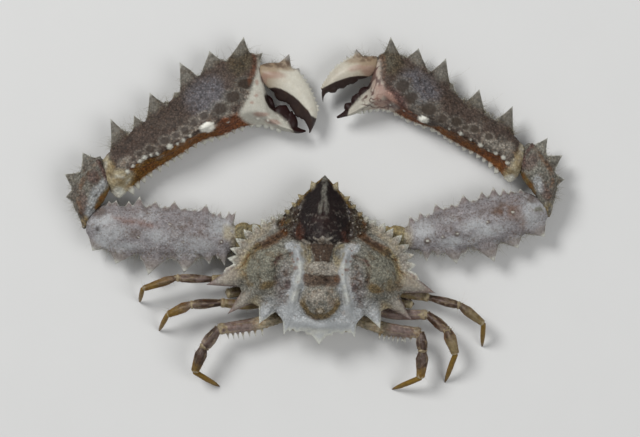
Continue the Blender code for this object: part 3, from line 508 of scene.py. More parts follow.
# Palms with their fixed fingers. A row is outer edge x, y, inner edge x, y, height, rise and drop.
# A stroke is the middle of an ellipse x, y, its two radii and its turn. The other shapes are outlines.
palms = {
    "left": {
        "rows": [
            (-44.8, 25.5, -42.6, 18.6, 4.6, 2.6, 2.8), (-43.4, 27.2, -40.5, 16.4, 4.6, 3.1, 3.3),
            (-41.4, 28.2, -38.2, 18.9, 4.5, 3.5, 3.8), (-38.4, 30.9, -35.2, 21.6, 4.4, 3.8, 4.1),
            (-34.8, 33.4, -31.2, 24.4, 4.4, 3.9, 4.3), (-31.6, 35.8, -27.8, 26.6, 4.4, 4.0, 4.4),
            (-28.0, 39.0, -23.8, 29.2, 4.4, 4.1, 4.4), (-23.4, 42.8, -19.8, 30.3, 4.4, 4.2, 4.4),
            (-18.2, 45.8, -15.8, 31.8, 4.4, 4.0, 4.2), (-14.2, 46.6, -13.0, 32.1, 4.4, 3.5, 3.8),
            (-12.3, 44.8, -11.2, 31.9, 4.3, 2.9, 3.2), (-11.2, 39.4, -9.8, 31.5, 4.2, 2.4, 2.6),
            (-9.4, 35.7, -8.2, 31.0, 4.0, 2.0, 2.0), (-6.7, 33.8, -6.4, 30.5, 3.8, 1.6, 1.6),
            (-4.6, 31.9, -4.6, 30.2, 3.6, 1.1, 1.1), (-2.9, 31.2, -3.1, 30.5, 3.5, 0.6, 0.6),
        ],
        "warp": ([0.0, 0.15, 0.22, 0.30, 1.0], [2.0, 2.0, 1.8, 1.0, 1.0]),
        "spines": [
            (-40.4, 28.0, -42.3, 33.4, 2.0), (-36.8, 31.2, -37.6, 34.1, 1.1), (-32.8, 33.6, -34.4, 38.6, 2.1),
            (-29.2, 36.6, -29.5, 38.7, 1.0), (-26.4, 39.4, -28.4, 44.7, 2.1), (-21.6, 42.4, -22.4, 47.0, 2.1),
            (-17.0, 44.8, -15.5, 49.8, 1.6), (-12.9, 44.8, -11.7, 46.6, 0.8), (-31.0, 35.8, -31.2, 37.0, 0.5),
            (-24.6, 41.0, -24.8, 41.9, 0.5), (-38.6, 29.8, -38.8, 30.9, 0.5), (-19.0, 44.0, -19.1, 45.0, 0.5),
        ],
        "molars": [
            (-10.2, 35.6, -9.7, 37.3, 1.9), (-7.5, 33.9, -7.0, 36.1, 1.5), (-5.6, 32.4, -5.2, 34.2, 1.2),
        ],
        "crest": [
            (-39.8, 21.8), (-38.8, 22.8), (-37.0, 24.1), (-35.4, 25.4), (-32.8, 26.0), (-30.3, 27.6),
            (-27.6, 28.8), (-26.8, 29.4), (-25.2, 30.6), (-23.0, 31.4), (-21.0, 32.6), (-18.6, 33.8),
            (-16.2, 34.6),
        ],
        "knobs": [
            (-38.8, 22.7, 0.7, 0.5), (-37.6, 23.7, 0.5, 0.4), (-36.2, 24.7, 0.6, 0.4),
            (-35.3, 25.5, 0.7, 0.6), (-33.8, 26.0, 0.5, 0.35), (-32.8, 26.2, 0.6, 0.4),
            (-30.3, 27.6, 0.8, 0.6), (-28.9, 28.1, 0.5, 0.4), (-27.6, 28.9, 0.7, 0.5),
            (-26.0, 29.9, 0.6, 0.4), (-23.7, 31.4, 0.8, 0.3), (-22.7, 32.0, 0.9, 0.35),
            (-21.8, 31.5, 0.8, 0.3), (-22.6, 31.1, 0.7, 0.3), (-18.6, 32.6, 0.4, 0.3),
            (-15.2, 33.2, 0.4, 0.4), (-12.8, 33.4, 0.5, 0.4), (-10.6, 33.0, 0.5, 0.4),
        ],
        "tubercle": (-22.7, 31.5, 1.5, 0.95, 8.0, 0.2), "bandRoot": "gold",
        "share": {"grey": 0.1, "blotch": 0.88, "brown": 0.5, "stain": 0.22, "scallop": 0.6},
        "blotches": [
            (-17.6, 37.6, 1.5, 1.2), (-20.1, 35.2, 1.5, 1.2), (-15.0, 40.3, 1.7, 1.0),
            (-23.4, 33.8, 1.0, 0.8), (-27.3, 30.9, 1.0, 0.8), (-25.4, 32.4, 0.8, 0.8),
            (-29.0, 29.9, 0.7, 0.6), (-31.2, 28.9, 1.0, 0.8), (-34.0, 27.2, 1.0, 0.7),
            (-36.4, 26.2, 0.7, 0.6),
        ],
        "band": [
            (-40.4, 20.2), (-39.4, 22.2), (-38.2, 23.0), (-37.0, 23.9), (-35.4, 25.0), (-32.8, 25.8),
            (-30.3, 27.3), (-27.6, 28.6), (-26.2, 29.6), (-24.6, 30.4), (-22.6, 30.6), (-21.0, 32.0),
            (-19.0, 33.4), (-17.0, 34.2), (-15.4, 34.0), (-14.2, 33.2), (-12.8, 32.4), (-12.6, 30.0),
            (-15.2, 29.6), (-18.6, 28.4), (-22.2, 27.2), (-24.6, 26.4), (-28.2, 24.2), (-31.6, 21.6),
            (-35.2, 19.6), (-38.2, 17.4), (-40.2, 16.2), (-41.4, 18.6),
        ],
        "rust": [
            (-21.0, 31.8), (-19.4, 33.6), (-17.4, 34.6), (-15.8, 34.2), (-14.6, 33.0), (-15.4, 31.0),
            (-18.2, 30.6), (-20.6, 30.2),
        ],
        "white": [
            (-12.6, 45.2), (-11.4, 45.0), (-11.2, 42.0), (-11.0, 39.4), (-10.6, 37.0), (-10.0, 35.2),
            (-9.0, 34.4), (-7.4, 33.4), (-6.2, 31.8), (-5.0, 29.6), (-7.4, 30.0), (-10.2, 31.0),
            (-12.8, 31.6), (-15.0, 32.6), (-16.6, 33.8), (-15.8, 35.4), (-14.6, 37.4), (-13.8, 39.8),
            (-13.1, 42.0),
        ],
        "dark": [
            (-11.4, 38.0), (-11.1, 36.8), (-10.4, 35.5), (-9.4, 34.8), (-8.0, 34.2), (-7.0, 33.2),
            (-6.2, 32.0), (-5.6, 31.1), (-4.8, 30.0), (-4.2, 28.8), (-1.0, 29.4), (-1.4, 33.8), (-4.2, 36.2),
            (-7.2, 38.2), (-9.8, 39.4),
        ],
        "brown": [
            (-13.8, 46.8), (-12.3, 46.4), (-12.9, 43.8), (-13.3, 41.8), (-14.4, 39.8), (-14.7, 40.8),
            (-13.9, 43.6),
        ],
        "notch": [(-12.5, 43.6), (-11.2, 43.2), (-11.0, 41.6), (-11.7, 40.2), (-12.3, 41.4)],
        "cream": [
            (-44.6, 26.2), (-42.6, 25.6), (-41.4, 23.0), (-39.6, 23.2), (-37.4, 22.3), (-38.6, 19.8),
            (-38.4, 18.0), (-39.6, 15.2), (-42.4, 15.8), (-44.2, 18.6), (-44.6, 22.0),
        ],
        "lobe": (-40.6, 18.2, 1.5, 1.3),
        "blueGrey": [
            (-27.0, 38.6), (-24.6, 41.0), (-21.4, 41.8), (-19.4, 40.2), (-19.0, 37.4), (-21.0, 35.0),
            (-23.4, 33.4), (-25.8, 34.6), (-27.0, 36.6),
        ],
        "olive": [
            (-19.0, 45.8), (-16.2, 47.8), (-13.8, 46.6), (-13.6, 45.0), (-14.6, 43.0), (-16.6, 41.8),
            (-18.6, 43.0),
        ],
        "pale": [(-39.4, 24.6, 1.6, 1.0, 40), (-43.0, 26.6, 1.0, 1.2, 0), (-14.2, 38.2, 1.0, 2.6, -20)],
        "blush": [
            (-12.0, 34.2, 1.6, 0.5, 0), (-12.9, 38.0, 0.4, 0.3, 0), (-13.9, 36.6, 0.4, 0.3, 0),
            (-12.9, 40.6, 0.4, 0.6, 0), (-9.6, 32.6, 1.6, 0.5, -10),
        ],
        "moss": [(-42.4, 22.6, 1.0, 2.2, -15), (-41.0, 20.6, 1.6, 0.8, 0)],
        "beads": [(16, 0.14, 0.53, 0.52, 1.2), (9, 0.57, 0.80, 0.4, 0.6)],
    },
    "right": {
        "rows": [
            (41.9, 28.2, 39.8, 21.2, 4.6, 2.6, 2.8), (40.2, 29.8, 37.5, 19.6, 4.6, 3.1, 3.3),
            (38.2, 31.0, 35.4, 22.7, 4.5, 3.5, 3.8), (35.4, 33.0, 32.4, 25.4, 4.4, 3.8, 4.1),
            (32.2, 35.0, 29.0, 27.4, 4.4, 3.9, 4.3), (28.6, 37.0, 25.6, 29.4, 4.4, 4.0, 4.4),
            (25.0, 40.4, 22.4, 31.5, 4.4, 4.1, 4.4), (21.4, 43.2, 18.2, 33.0, 4.4, 4.2, 4.4),
            (17.2, 45.6, 14.8, 34.6, 4.4, 4.0, 4.2), (13.8, 46.8, 12.4, 35.3, 4.4, 3.5, 3.8),
            (11.2, 45.6, 10.6, 35.2, 4.3, 2.9, 3.2), (9.8, 40.6, 9.2, 35.0, 4.2, 2.4, 2.6),
            (7.6, 37.8, 8.0, 34.7, 4.0, 2.0, 2.0), (5.9, 36.3, 6.6, 34.0, 3.8, 1.6, 1.6),
            (4.4, 34.9, 5.0, 33.6, 3.6, 1.1, 1.1), (3.1, 33.9, 3.4, 33.3, 3.5, 0.6, 0.6),
        ],
        "warp": (
            [0.0, 0.15, 0.22, 0.30, 0.37, 0.43, 0.5, 0.6, 1.0], [2.1, 2.1, 1.4, 1.2, 1.25, 0.65, 0.8, 1, 1],
        ),
        "spines": [
            (36.8, 31.0, 38.5, 35.9, 2.0), (33.6, 33.4, 33.7, 34.8, 1.0), (30.8, 34.6, 31.8, 39.3, 2.0),
            (26.9, 37.6, 26.5, 40.4, 1.0), (23.8, 40.4, 25.1, 45.5, 2.1), (19.0, 43.6, 19.6, 47.5, 2.0),
            (14.6, 45.8, 14.0, 49.8, 1.3), (35.2, 32.6, 35.3, 33.6, 0.5), (28.8, 36.4, 28.9, 37.6, 0.5),
            (21.6, 42.2, 21.7, 43.2, 0.5), (16.8, 45.0, 16.8, 46.0, 0.5),
        ],
        "molars": [(8.2, 38.0, 7.9, 39.5, 1.2), (6.9, 36.8, 6.3, 37.9, 0.9), (5.4, 35.4, 4.8, 36.4, 0.8)],
        "crest": [
            (37.8, 23.8), (36.4, 25.5), (35.0, 26.4), (33.6, 27.0), (31.8, 28.1), (29.8, 29.0), (28.0, 30.2),
            (25.8, 31.2), (23.0, 32.0), (20.6, 33.2), (18.2, 34.6),
        ],
        "knobs": [
            (37.4, 24.4, 0.6, 0.5), (36.4, 25.5, 0.7, 0.5), (35.0, 26.4, 0.6, 0.5), (33.6, 27.0, 0.4, 0.3),
            (31.8, 28.1, 0.7, 0.6), (29.8, 29.1, 0.4, 0.3), (28.0, 30.2, 0.6, 0.5), (25.8, 31.2, 0.4, 0.3),
            (20.1, 33.4, 1.1, 0.7), (21.2, 32.8, 0.7, 0.5), (16.6, 35.0, 0.4, 0.3), (13.8, 36.2, 0.4, 0.3),
        ],
        "tubercle": (20.5, 33.1, 1.1, 0.6, -16.0, 0.2), "bandRoot": "rust",
        "share": {"grey": 0.5, "blotch": 0.75, "brown": 0.25, "stain": 0.36, "scallop": 0.3},
        "blotches": [
            (16.4, 39.8, 1.4, 1.3), (18.0, 37.4, 1.3, 1.2), (21.6, 35.2, 1.6, 1.3), (24.2, 33.2, 1.0, 0.9),
            (27.0, 32.6, 1.1, 0.9), (30.6, 31.2, 1.0, 0.8), (33.6, 29.6, 0.9, 0.7), (29.0, 31.6, 0.6, 0.5),
        ],
        "band": [
            (38.6, 23.0), (36.4, 25.3), (35.0, 26.2), (33.6, 26.8), (31.8, 27.9), (29.8, 28.8), (28.0, 29.9),
            (25.8, 30.9), (23.8, 31.7), (21.8, 31.9), (19.8, 32.8), (17.8, 34.1), (16.2, 35.2), (14.2, 35.6),
            (12.6, 35.0), (13.6, 32.8), (17.4, 31.6), (20.8, 29.6), (26.0, 27.2), (30.8, 24.0), (34.8, 21.4),
            (37.0, 18.8), (39.6, 20.2),
        ],
        "rust": [
            (11.0, 39.4), (12.2, 39.4), (14.2, 37.8), (16.2, 35.8), (18.2, 34.4), (20.2, 33.2), (20.6, 31.6),
            (18.2, 33.0), (15.4, 34.6), (13.0, 35.8), (11.8, 37.4),
        ],
        "white": [
            (9.8, 41.4), (10.4, 45.2), (11.8, 45.0), (12.0, 41.2), (13.0, 39.0), (14.4, 37.2), (15.6, 35.6),
            (14.4, 34.4), (11.8, 34.6), (10.0, 34.2), (8.0, 33.8), (5.4, 32.6), (5.0, 34.6), (6.8, 36.6),
            (8.4, 38.2), (9.7, 39.4),
        ],
        "dark": [
            (10.2, 40.6), (9.8, 39.4), (8.8, 38.6), (7.4, 37.6), (6.6, 36.4), (5.6, 35.2), (5.4, 34.2),
            (4.8, 32.4), (2.0, 32.4), (3.4, 36.2), (5.6, 39.0), (7.8, 41.4),
        ],
        "brown": [
            (11.6, 46.8), (12.6, 46.4), (13.1, 44.6), (13.0, 42.2), (12.6, 40.2), (12.0, 41.2), (11.9, 44.6),
        ],
        "notch": [(9.0, 43.0), (10.8, 43.0), (11.0, 41.4), (10.0, 40.2), (9.2, 41.4)],
        "cream": [
            (42.4, 29.4), (40.2, 28.8), (39.6, 26.6), (38.6, 25.2), (37.4, 23.4), (36.2, 21.9), (37.0, 18.4),
            (40.0, 19.0), (42.0, 23.0),
        ],
        "lobe": (38.2, 20.8, 1.5, 1.3),
        "blueGrey": [
            (15.0, 40.2), (16.6, 42.6), (19.4, 43.0), (22.2, 41.0), (23.8, 38.6), (22.6, 36.2), (19.8, 35.8),
            (17.0, 37.4),
        ],
        "olive": [(11.0, 46.8), (13.4, 47.6), (15.8, 46.4), (16.6, 44.2), (15.0, 42.0), (13.2, 42.2)],
        "pale": [(37.4, 27.2, 1.4, 1.4, -30), (40.6, 28.6, 0.8, 1.2, 0), (34.4, 28.4, 2.6, 0.8, -32)],
        "blush": [(13.6, 37.9, 2.4, 0.7, -45), (11.6, 38.6, 0.9, 1.8, -20), (12.0, 36.4, 1.6, 0.5, 0)],
        "moss": [(39.6, 24.8, 0.9, 2.2, 15), (37.8, 22.4, 1.2, 0.8, 0)],
        "beads": [(16, 0.14, 0.53, 0.5, 0.85), (9, 0.57, 0.80, 0.4, 0.6)],
    },
}


def makePalm(side):
    spec, form, strength = palms[side], clawForms["palm"], palms[side]["share"]
    grid, place = limbGrid(spec["rows"], palmSection, form["mesh"], spec["warp"])
    roughSurface(grid, normalsOf(grid), form["swell"], 11, kind=cloudOn)
    pull = raiseSpines(grid, spec["spines"], form["edge"], 1.6, 0.9, 1.2)
    beads = sum((edgeBeads(spec["rows"], *row) for row in spec["beads"]), [])
    beadPull = raiseSpines(grid, beads, 3.5, 0.65, 1.0, 0.6, 0.0)
    raiseSpines(grid, spec["molars"], 4.0, 1.5, 1.2, 0.45, 0.0)
    normals = normalsOf(grid)
    knobs = raiseBumps(grid, normals, spec["knobs"])
    share, across = place["share"], place["across"]
    up = ease(-0.15, 0.35, normals[..., 2])
    x, y = wander(grid, 1.5, 0.3, 31)
    white = region(x, y, spec["white"], 0.5)
    cream = region(x, y, spec["cream"], 0.7)
    dark = region(grid[..., 0], grid[..., 1], spec["dark"], 0.12)
    bare = 1.0 - np.maximum(white, dark)
    spots = np.maximum.reduce([patch(x, y, cx, cy, rx, ry, 0, 0.12) for cx, cy, rx, ry in spec["blotches"]])
    rough = bare * (1.0 - ease(0.3, 0.7, pull)) * (1.0 - 0.3 * cream) * (1.0 - 0.8 * spots)
    lumps = 0.25 * cream * cloudOn(grid, 1.1, 35)
    roughSurface(grid, normals, form["granules"], 21, rough)
    grid += lumps[..., None] * normals
    blot, fine = cloudOn(grid, 2.0, 37), cloudOn(grid, 1.2, 36)
    paint, lay = firstCoat(grid, "mauveGrey")
    lay(ease(-0.2, 0.7, cloudOn(grid, 4.0, 33)), "shellGrey", strength["grey"])
    lay(ease(0.1, 0.7, blot), "slate", 0.35)
    lay(region(x, y, spec["blueGrey"], 1.4), "blueGrey", 0.9)
    lay(region(x, y, spec["olive"], 0.9), "olive", 0.3)
    layStrokes(lay, x, y, spec["pale"], "shellPale", 0.55)
    for cx, cy, rx, ry in spec["blotches"]:
        ring = patch(x, y, cx, cy, rx * 1.4, ry * 1.4)
        lay(ring, "shellPale" if rx < 1.1 else "shellGrey", 0.62 * strength["blotch"])
    lay(spots, "umber", strength["blotch"])
    band = region(x, y, spec["band"], 0.18)
    lay(band, "tawny", 0.95)
    lay(band * ease(0.42, 0.1, share) * ease(-0.6, 0.3, blot), spec["bandRoot"], 0.7)
    lay(band * ease(0.1, 0.7, fine), "umber", 0.4)
    lay(region(x, y, spec["rust"], 0.3) * ease(-1.0, 0.0, fine), "rust", 0.85)
    lay(region(x, y, spec["brown"], 0.3) * up * ease(-0.8, 0.1, fine), "rust", strength["brown"])
    lay(cream * ease(-0.9, -0.2, blot), "cream", 0.9)
    lay(cream * ease(0.0, 0.5, fine), "bone", 0.5)
    layStrokes(lay, x, y, spec["moss"], "ochre", 0.55, ease(-0.6, 0.2, fine))
    lay(patch(x, y, *spec["lobe"]), "bone", 0.8)
    lay(ease(0.07, 0.02, share) * ease(-0.2, 0.5, fine), "legBrown", 0.6)
    lay(white, "bone", 0.92)
    lay(white, "stain", strength["stain"])
    lay(white * ease(0.1, 0.8, cloudOn(grid, 1.6, 39)), "blush", 0.3)
    if side == "right":  # dark purple threads over the white
        thread = ease(0.16, 0.04, np.abs(cloudOn(grid, 1.3, 43, 2))) * ease(7.5, 9.0, x) * ease(16.0, 14.6, x)
        lay(region(x, y, spec["white"], 0.9) * ease(8.0, 11.0, x) * ease(-0.6, 0.4, blot), "blush", 0.6)
        lay(patch(x, y, 14.6, 37.2, 3.0, 1.7, -40) * ease(-0.9, 0.0, fine), "plum", 0.85)
        lay(white * thread, "plum", 0.9)
    layStrokes(lay, x, y, spec["blush"], "blush", 0.65)
    lay(region(x, y, spec["notch"], 0.2) * up, "plum", 0.85)
    scallop = ease(1.2, 0.2, lineDistance(x, y, spec["crest"])) * ease(-0.1, 0.4, cloudOn(grid, 0.8, 40)) * up
    lay(scallop * (1.0 - white), "shellPale", strength["scallop"])
    lay(ease(0.05, 0.5, knobs), "bone", 0.7)
    tubercle = patch(x, y, *spec["tubercle"]) * up
    lay(tubercle, "chalk", 0.9)
    lay(ease(0.02, 0.3, beadPull), "bone", 0.9)
    lay(ease(0.08, 0.35, pull), "shellGrey", 0.65)
    lay(edgeLine(normals, across, pull) * (1.0 - white), "bone", 0.75)
    lay(ease(0.8, 0.97, pull), "bone", 0.6)
    lay(ease(0.2, -0.5, normals[..., 2]) * (1.0 - band) * bare, "shellPale", 0.5)
    lay(dark, "horn", 0.97)
    calm = np.maximum.reduce([
        white * 0.95, cream * 0.6, dark * 0.8, spots * 0.7, ease(0.1, 0.4, pull) * 0.35, tubercle,
        ease(0.5, 0.85, pull) * 0.8, ease(0.2, 0.6, knobs), ease(0.1, 0.4, beadPull)])
    piece = closedShell(f"{side}_palm_shell", grid, paint, calm)
    where = (ease(0.16, 0.02, across) * ease(0.01, 0.05, pull) * ease(0.55, 0.3, pull)
             + 0.05 * ease(0.1, 0.0, across))
    hairs[f"{side}_palm"] = (grid, normals, where, *form["hairs"], "olive")
    dress(piece, clawShell, [f"{side}_claw_palm"], "claw_shell")


# Movable fingers. Inside the outline called dark, the finger is horn brown.
fingers = {
    "left": {
        "rows": [
            (-12.5, 44.9, -12.2, 40.2, 4.4, 2.0, 2.2), (-9.8, 45.0, -10.4, 38.9, 4.4, 2.5, 2.5),
            (-7.2, 44.4, -8.4, 37.7, 4.4, 2.5, 2.4), (-4.8, 43.0, -6.4, 36.6, 4.3, 2.3, 2.2),
            (-3.0, 40.8, -4.8, 35.1, 4.2, 2.1, 2.0), (-1.6, 38.2, -3.8, 33.6, 4.1, 1.8, 1.7),
            (-0.7, 35.6, -3.0, 32.2, 3.9, 1.5, 1.4), (-0.8, 33.4, -2.6, 31.2, 3.7, 1.1, 1.0),
            (-2.0, 30.6, -2.5, 30.4, 3.5, 0.5, 0.5),
        ],
        "spines": [(-7.2, 43.8, -6.4, 46.3, 1.1), (-5.2, 42.6, -4.4, 43.5, 0.7)],
        "molars": [
            (-8.4, 38.0, -8.6, 37.0, 1.3), (-6.4, 37.0, -6.8, 36.4, 1.0), (-5.0, 35.8, -5.7, 34.9, 1.2),
            (-4.0, 34.2, -4.7, 33.6, 1.0),
        ],
        "serration": (9, 0.46, 0.80), "stainShare": 0.05,
        "dark": [
            (-12.4, 38.9), (-10.2, 39.5), (-9.2, 39.6), (-8.0, 39.3), (-6.8, 38.7), (-5.6, 37.9),
            (-4.6, 37.1), (-3.6, 36.0), (-2.6, 35.0), (-2.0, 34.0), (-1.0, 33.4), (0.6, 33.0), (-0.2, 29.2),
            (-3.8, 29.2), (-6.4, 33.0), (-8.0, 35.2), (-10.6, 36.4), (-12.4, 37.2),
        ],
        "stain": [(-10.8, 43.4, 2.2, 1.9, -10), (-7.8, 44.2, 3.2, 1.1, -12)],
        "brown": [(-9.4, 44.4, 3.4, 0.9, -6), (-6.6, 44.6, 0.7, 1.0, 0)],
        "blush": [(-9.4, 42.0, 2.4, 0.7, 0), (-11.4, 41.2, 0.6, 1.2, 0)],
    },
    "right": {
        "rows": [
            (11.6, 46.7, 10.8, 41.6, 4.4, 2.0, 2.2), (9.8, 46.2, 9.0, 41.2, 4.4, 2.5, 2.5),
            (7.8, 46.0, 7.2, 41.0, 4.4, 2.5, 2.4), (5.6, 45.4, 5.2, 40.4, 4.3, 2.3, 2.2),
            (3.6, 44.2, 3.4, 39.7, 4.2, 2.1, 2.0), (2.0, 42.6, 2.0, 38.9, 4.1, 1.8, 1.7),
            (0.8, 40.6, 1.0, 38.3, 3.9, 1.5, 1.4), (0.1, 38.8, 0.6, 37.6, 3.7, 1.1, 1.0),
            (0.3, 36.8, 0.5, 36.6, 3.5, 0.5, 0.5),
        ],
        "spines": [(7.4, 45.4, 7.1, 47.3, 0.9), (5.5, 44.8, 5.1, 46.0, 0.7)],
        "molars": [(6.6, 41.0, 6.5, 40.3, 1.1), (4.6, 40.2, 4.5, 39.4, 1.1), (2.8, 39.3, 2.9, 38.6, 0.9)],
        "serration": (13, 0.36, 0.86), "stainShare": 0.3,
        "dark": [
            (-0.6, 39.2), (0.4, 39.5), (1.4, 40.0), (2.8, 40.7), (4.2, 41.2), (5.8, 41.7), (7.4, 41.9),
            (8.8, 41.9), (10.0, 41.7), (11.4, 38.6), (6.2, 38.0), (2.6, 36.8), (1.0, 35.4), (-1.0, 36.4),
        ],
        "stain": [(9.6, 44.2, 2.0, 1.9, 10), (7.6, 45.4, 2.8, 1.0, 10)], "brown": [(9.2, 45.6, 2.2, 0.8, 6)],
        "blush": [(9.6, 43.0, 1.4, 1.0, 0), (7.0, 43.4, 1.6, 0.6, 10)],
    },
}


def makeFinger(side):
    spec, form = fingers[side], clawForms["finger"]
    grid, place = limbGrid(spec["rows"], armSection, form["mesh"])
    outer = [(*row[2:4], *row[0:2], *row[4:]) for row in spec["rows"]]
    raiseSpines(grid, edgeBeads(outer, *spec["serration"], 0.22, 0.7), form["edge"], 0.5, 1.0, 0.8, 0.0)
    pull = raiseSpines(grid, spec["spines"], form["edge"], 1.2, 1.0, 1.1)
    raiseSpines(grid, spec["molars"], 4.1, 1.1, 1.2, 0.5, 0.0)
    normals = normalsOf(grid)
    share, across = place["share"], place["across"]
    x, y = wander(grid, 1.2, 0.25, 41)
    dark = region(grid[..., 0], grid[..., 1], spec["dark"], 0.10)
    brown = np.maximum.reduce([patch(x, y, *stroke) for stroke in spec["brown"]])
    outside = ease(0.24, 0.05, across) * ease(0.62, 0.3, share)
    roughSurface(grid, normals, form["granules"], 42, np.maximum(brown, outside))
    paint, lay = firstCoat(grid, "ivory")
    paint += spec["stainShare"] * (rgb("stain") - paint)
    lay(ease(0.36, 0.05, share), "stain", 0.8)
    lay(ease(0.0, 0.8, cloudOn(grid, 2.2, 44)), "cream", 0.3)
    layStrokes(lay, x, y, spec["stain"], "stain", 0.75)
    layStrokes(lay, x, y, spec["blush"], "blush", 0.55)
    lay(brown * ease(-0.4, 0.2, cloudOn(grid, 0.9, 45)), "legBrown", 0.8)
    lay(outside * ease(0.25, 0.6, cloudOn(grid, 0.6, 46, 2)), "legBrown", 0.7)
    lay(ease(0.06, 0.0, across) * ease(0.2, 0.3, share), "bone", 0.6)
    lay(ease(0.2, -0.6, normals[..., 2]), "cream", 0.3)
    lay(ease(0.3, 0.7, pull), "blueGrey", 0.6)
    lay(dark, "horn", 0.97)
    # Painted highlight: the upward-facing tops of the dark horn teeth are laid sienna, as light catching them
    lay(dark * ease(0.35, 0.7, normals[..., 2]) * ease(0.0, 0.6, cloudOn(grid, 1.0, 47)), "sienna", 0.6)
    calm = np.clip(0.95 - 0.8 * brown - dark * 0.15, 0.0, 1.0)
    piece = closedShell(f"{side}_finger_shell", grid, paint, calm)
    where = ease(0.12, 0.02, across) * ease(0.4, 0.2, share)
    hairs[f"{side}_finger"] = (grid, normals, where, *form["hairs"], "olive")
    dress(piece, ivoryShell, [f"{side}_claw_finger"], "finger_ivory")


# The carpus, or wrist, of each claw
wrists = {
    "left": {
        "rows": [
            (-48.0, 11.0, -46.6, 11.6, 4.0, 1.5, 1.6), (-48.8, 13.6, -45.2, 14.6, 4.2, 2.5, 2.6),
            (-49.8, 16.0, -43.8, 16.6, 4.3, 3.0, 3.0), (-50.1, 18.6, -42.7, 18.7, 4.4, 3.3, 3.2),
            (-49.4, 21.0, -42.2, 20.4, 4.5, 3.5, 3.3), (-48.0, 23.0, -42.6, 21.8, 4.5, 3.4, 3.3),
            (-46.2, 25.2, -43.2, 23.6, 4.5, 2.9, 2.9), (-44.6, 26.0, -43.7, 24.9, 4.5, 2.2, 2.4),
        ],
        "spines": [
            (-49.2, 17.4, -51.3, 17.6, 1.1), (-48.9, 21.2, -51.5, 22.2, 1.6), (-46.8, 23.4, -47.9, 26.6, 1.6),
        ],
        "ridge": [(-44.6, 24.7), (-46.6, 22.2), (-48.2, 19.8), (-48.6, 16.8), (-48.2, 14.6)],
        "inner": [(-44.6, 24.5), (-43.7, 22.6), (-43.1, 20.8)],
        "white": [(-43.5, 20.2), (-45.0, 18.3), (-46.0, 16.2), (-46.3, 14.4)],
        "orange": [
            (-41.0, 20.6), (-41.4, 18.2), (-43.2, 16.4), (-45.0, 15.0), (-45.6, 15.6), (-44.6, 17.2),
            (-43.0, 19.2), (-42.4, 20.8),
        ],
        "plum": [(-45.4, 21.6, 1.2, 1.4, 20), (-47.6, 16.6, 0.9, 2.2, 0)], "tail": (-47.3, 12.6, 1.0, 1.2),
    },
    "right": {
        "rows": [
            (46.2, 13.4, 44.7, 14.2, 4.0, 1.5, 1.6), (46.6, 15.6, 43.7, 16.7, 4.2, 2.5, 2.6),
            (47.1, 18.0, 42.4, 18.8, 4.3, 3.0, 3.0), (47.4, 20.2, 41.0, 20.6, 4.4, 3.3, 3.2),
            (47.0, 22.6, 40.2, 22.0, 4.5, 3.5, 3.3), (46.0, 24.8, 39.8, 23.8, 4.5, 3.4, 3.3),
            (44.0, 27.2, 40.4, 25.8, 4.5, 2.9, 2.9), (41.8, 28.8, 40.7, 27.6, 4.5, 2.2, 2.4),
        ],
        "spines": [
            (46.6, 20.7, 49.0, 21.1, 1.1), (45.8, 23.9, 48.5, 26.0, 1.6), (43.8, 25.8, 45.5, 29.5, 1.5),
        ],
        "ridge": [(42.1, 27.8), (44.6, 25.2), (46.0, 22.9), (46.4, 20.2), (45.6, 17.6)],
        "inner": [(42.1, 27.6), (40.9, 26.0), (40.7, 23.4)], "white": [(43.4, 20.9), (43.7, 19.2)],
        "orange": [
            (39.0, 23.6), (39.4, 20.8), (41.2, 18.6), (42.6, 17.4), (43.2, 18.4), (42.4, 20.2), (40.9, 22.2),
        ],
        "plum": [(42.2, 24.6, 1.2, 1.8, -30), (45.0, 18.4, 0.9, 1.8, 10)], "tail": (45.5, 15.0, 1.0, 1.4),
    },
}


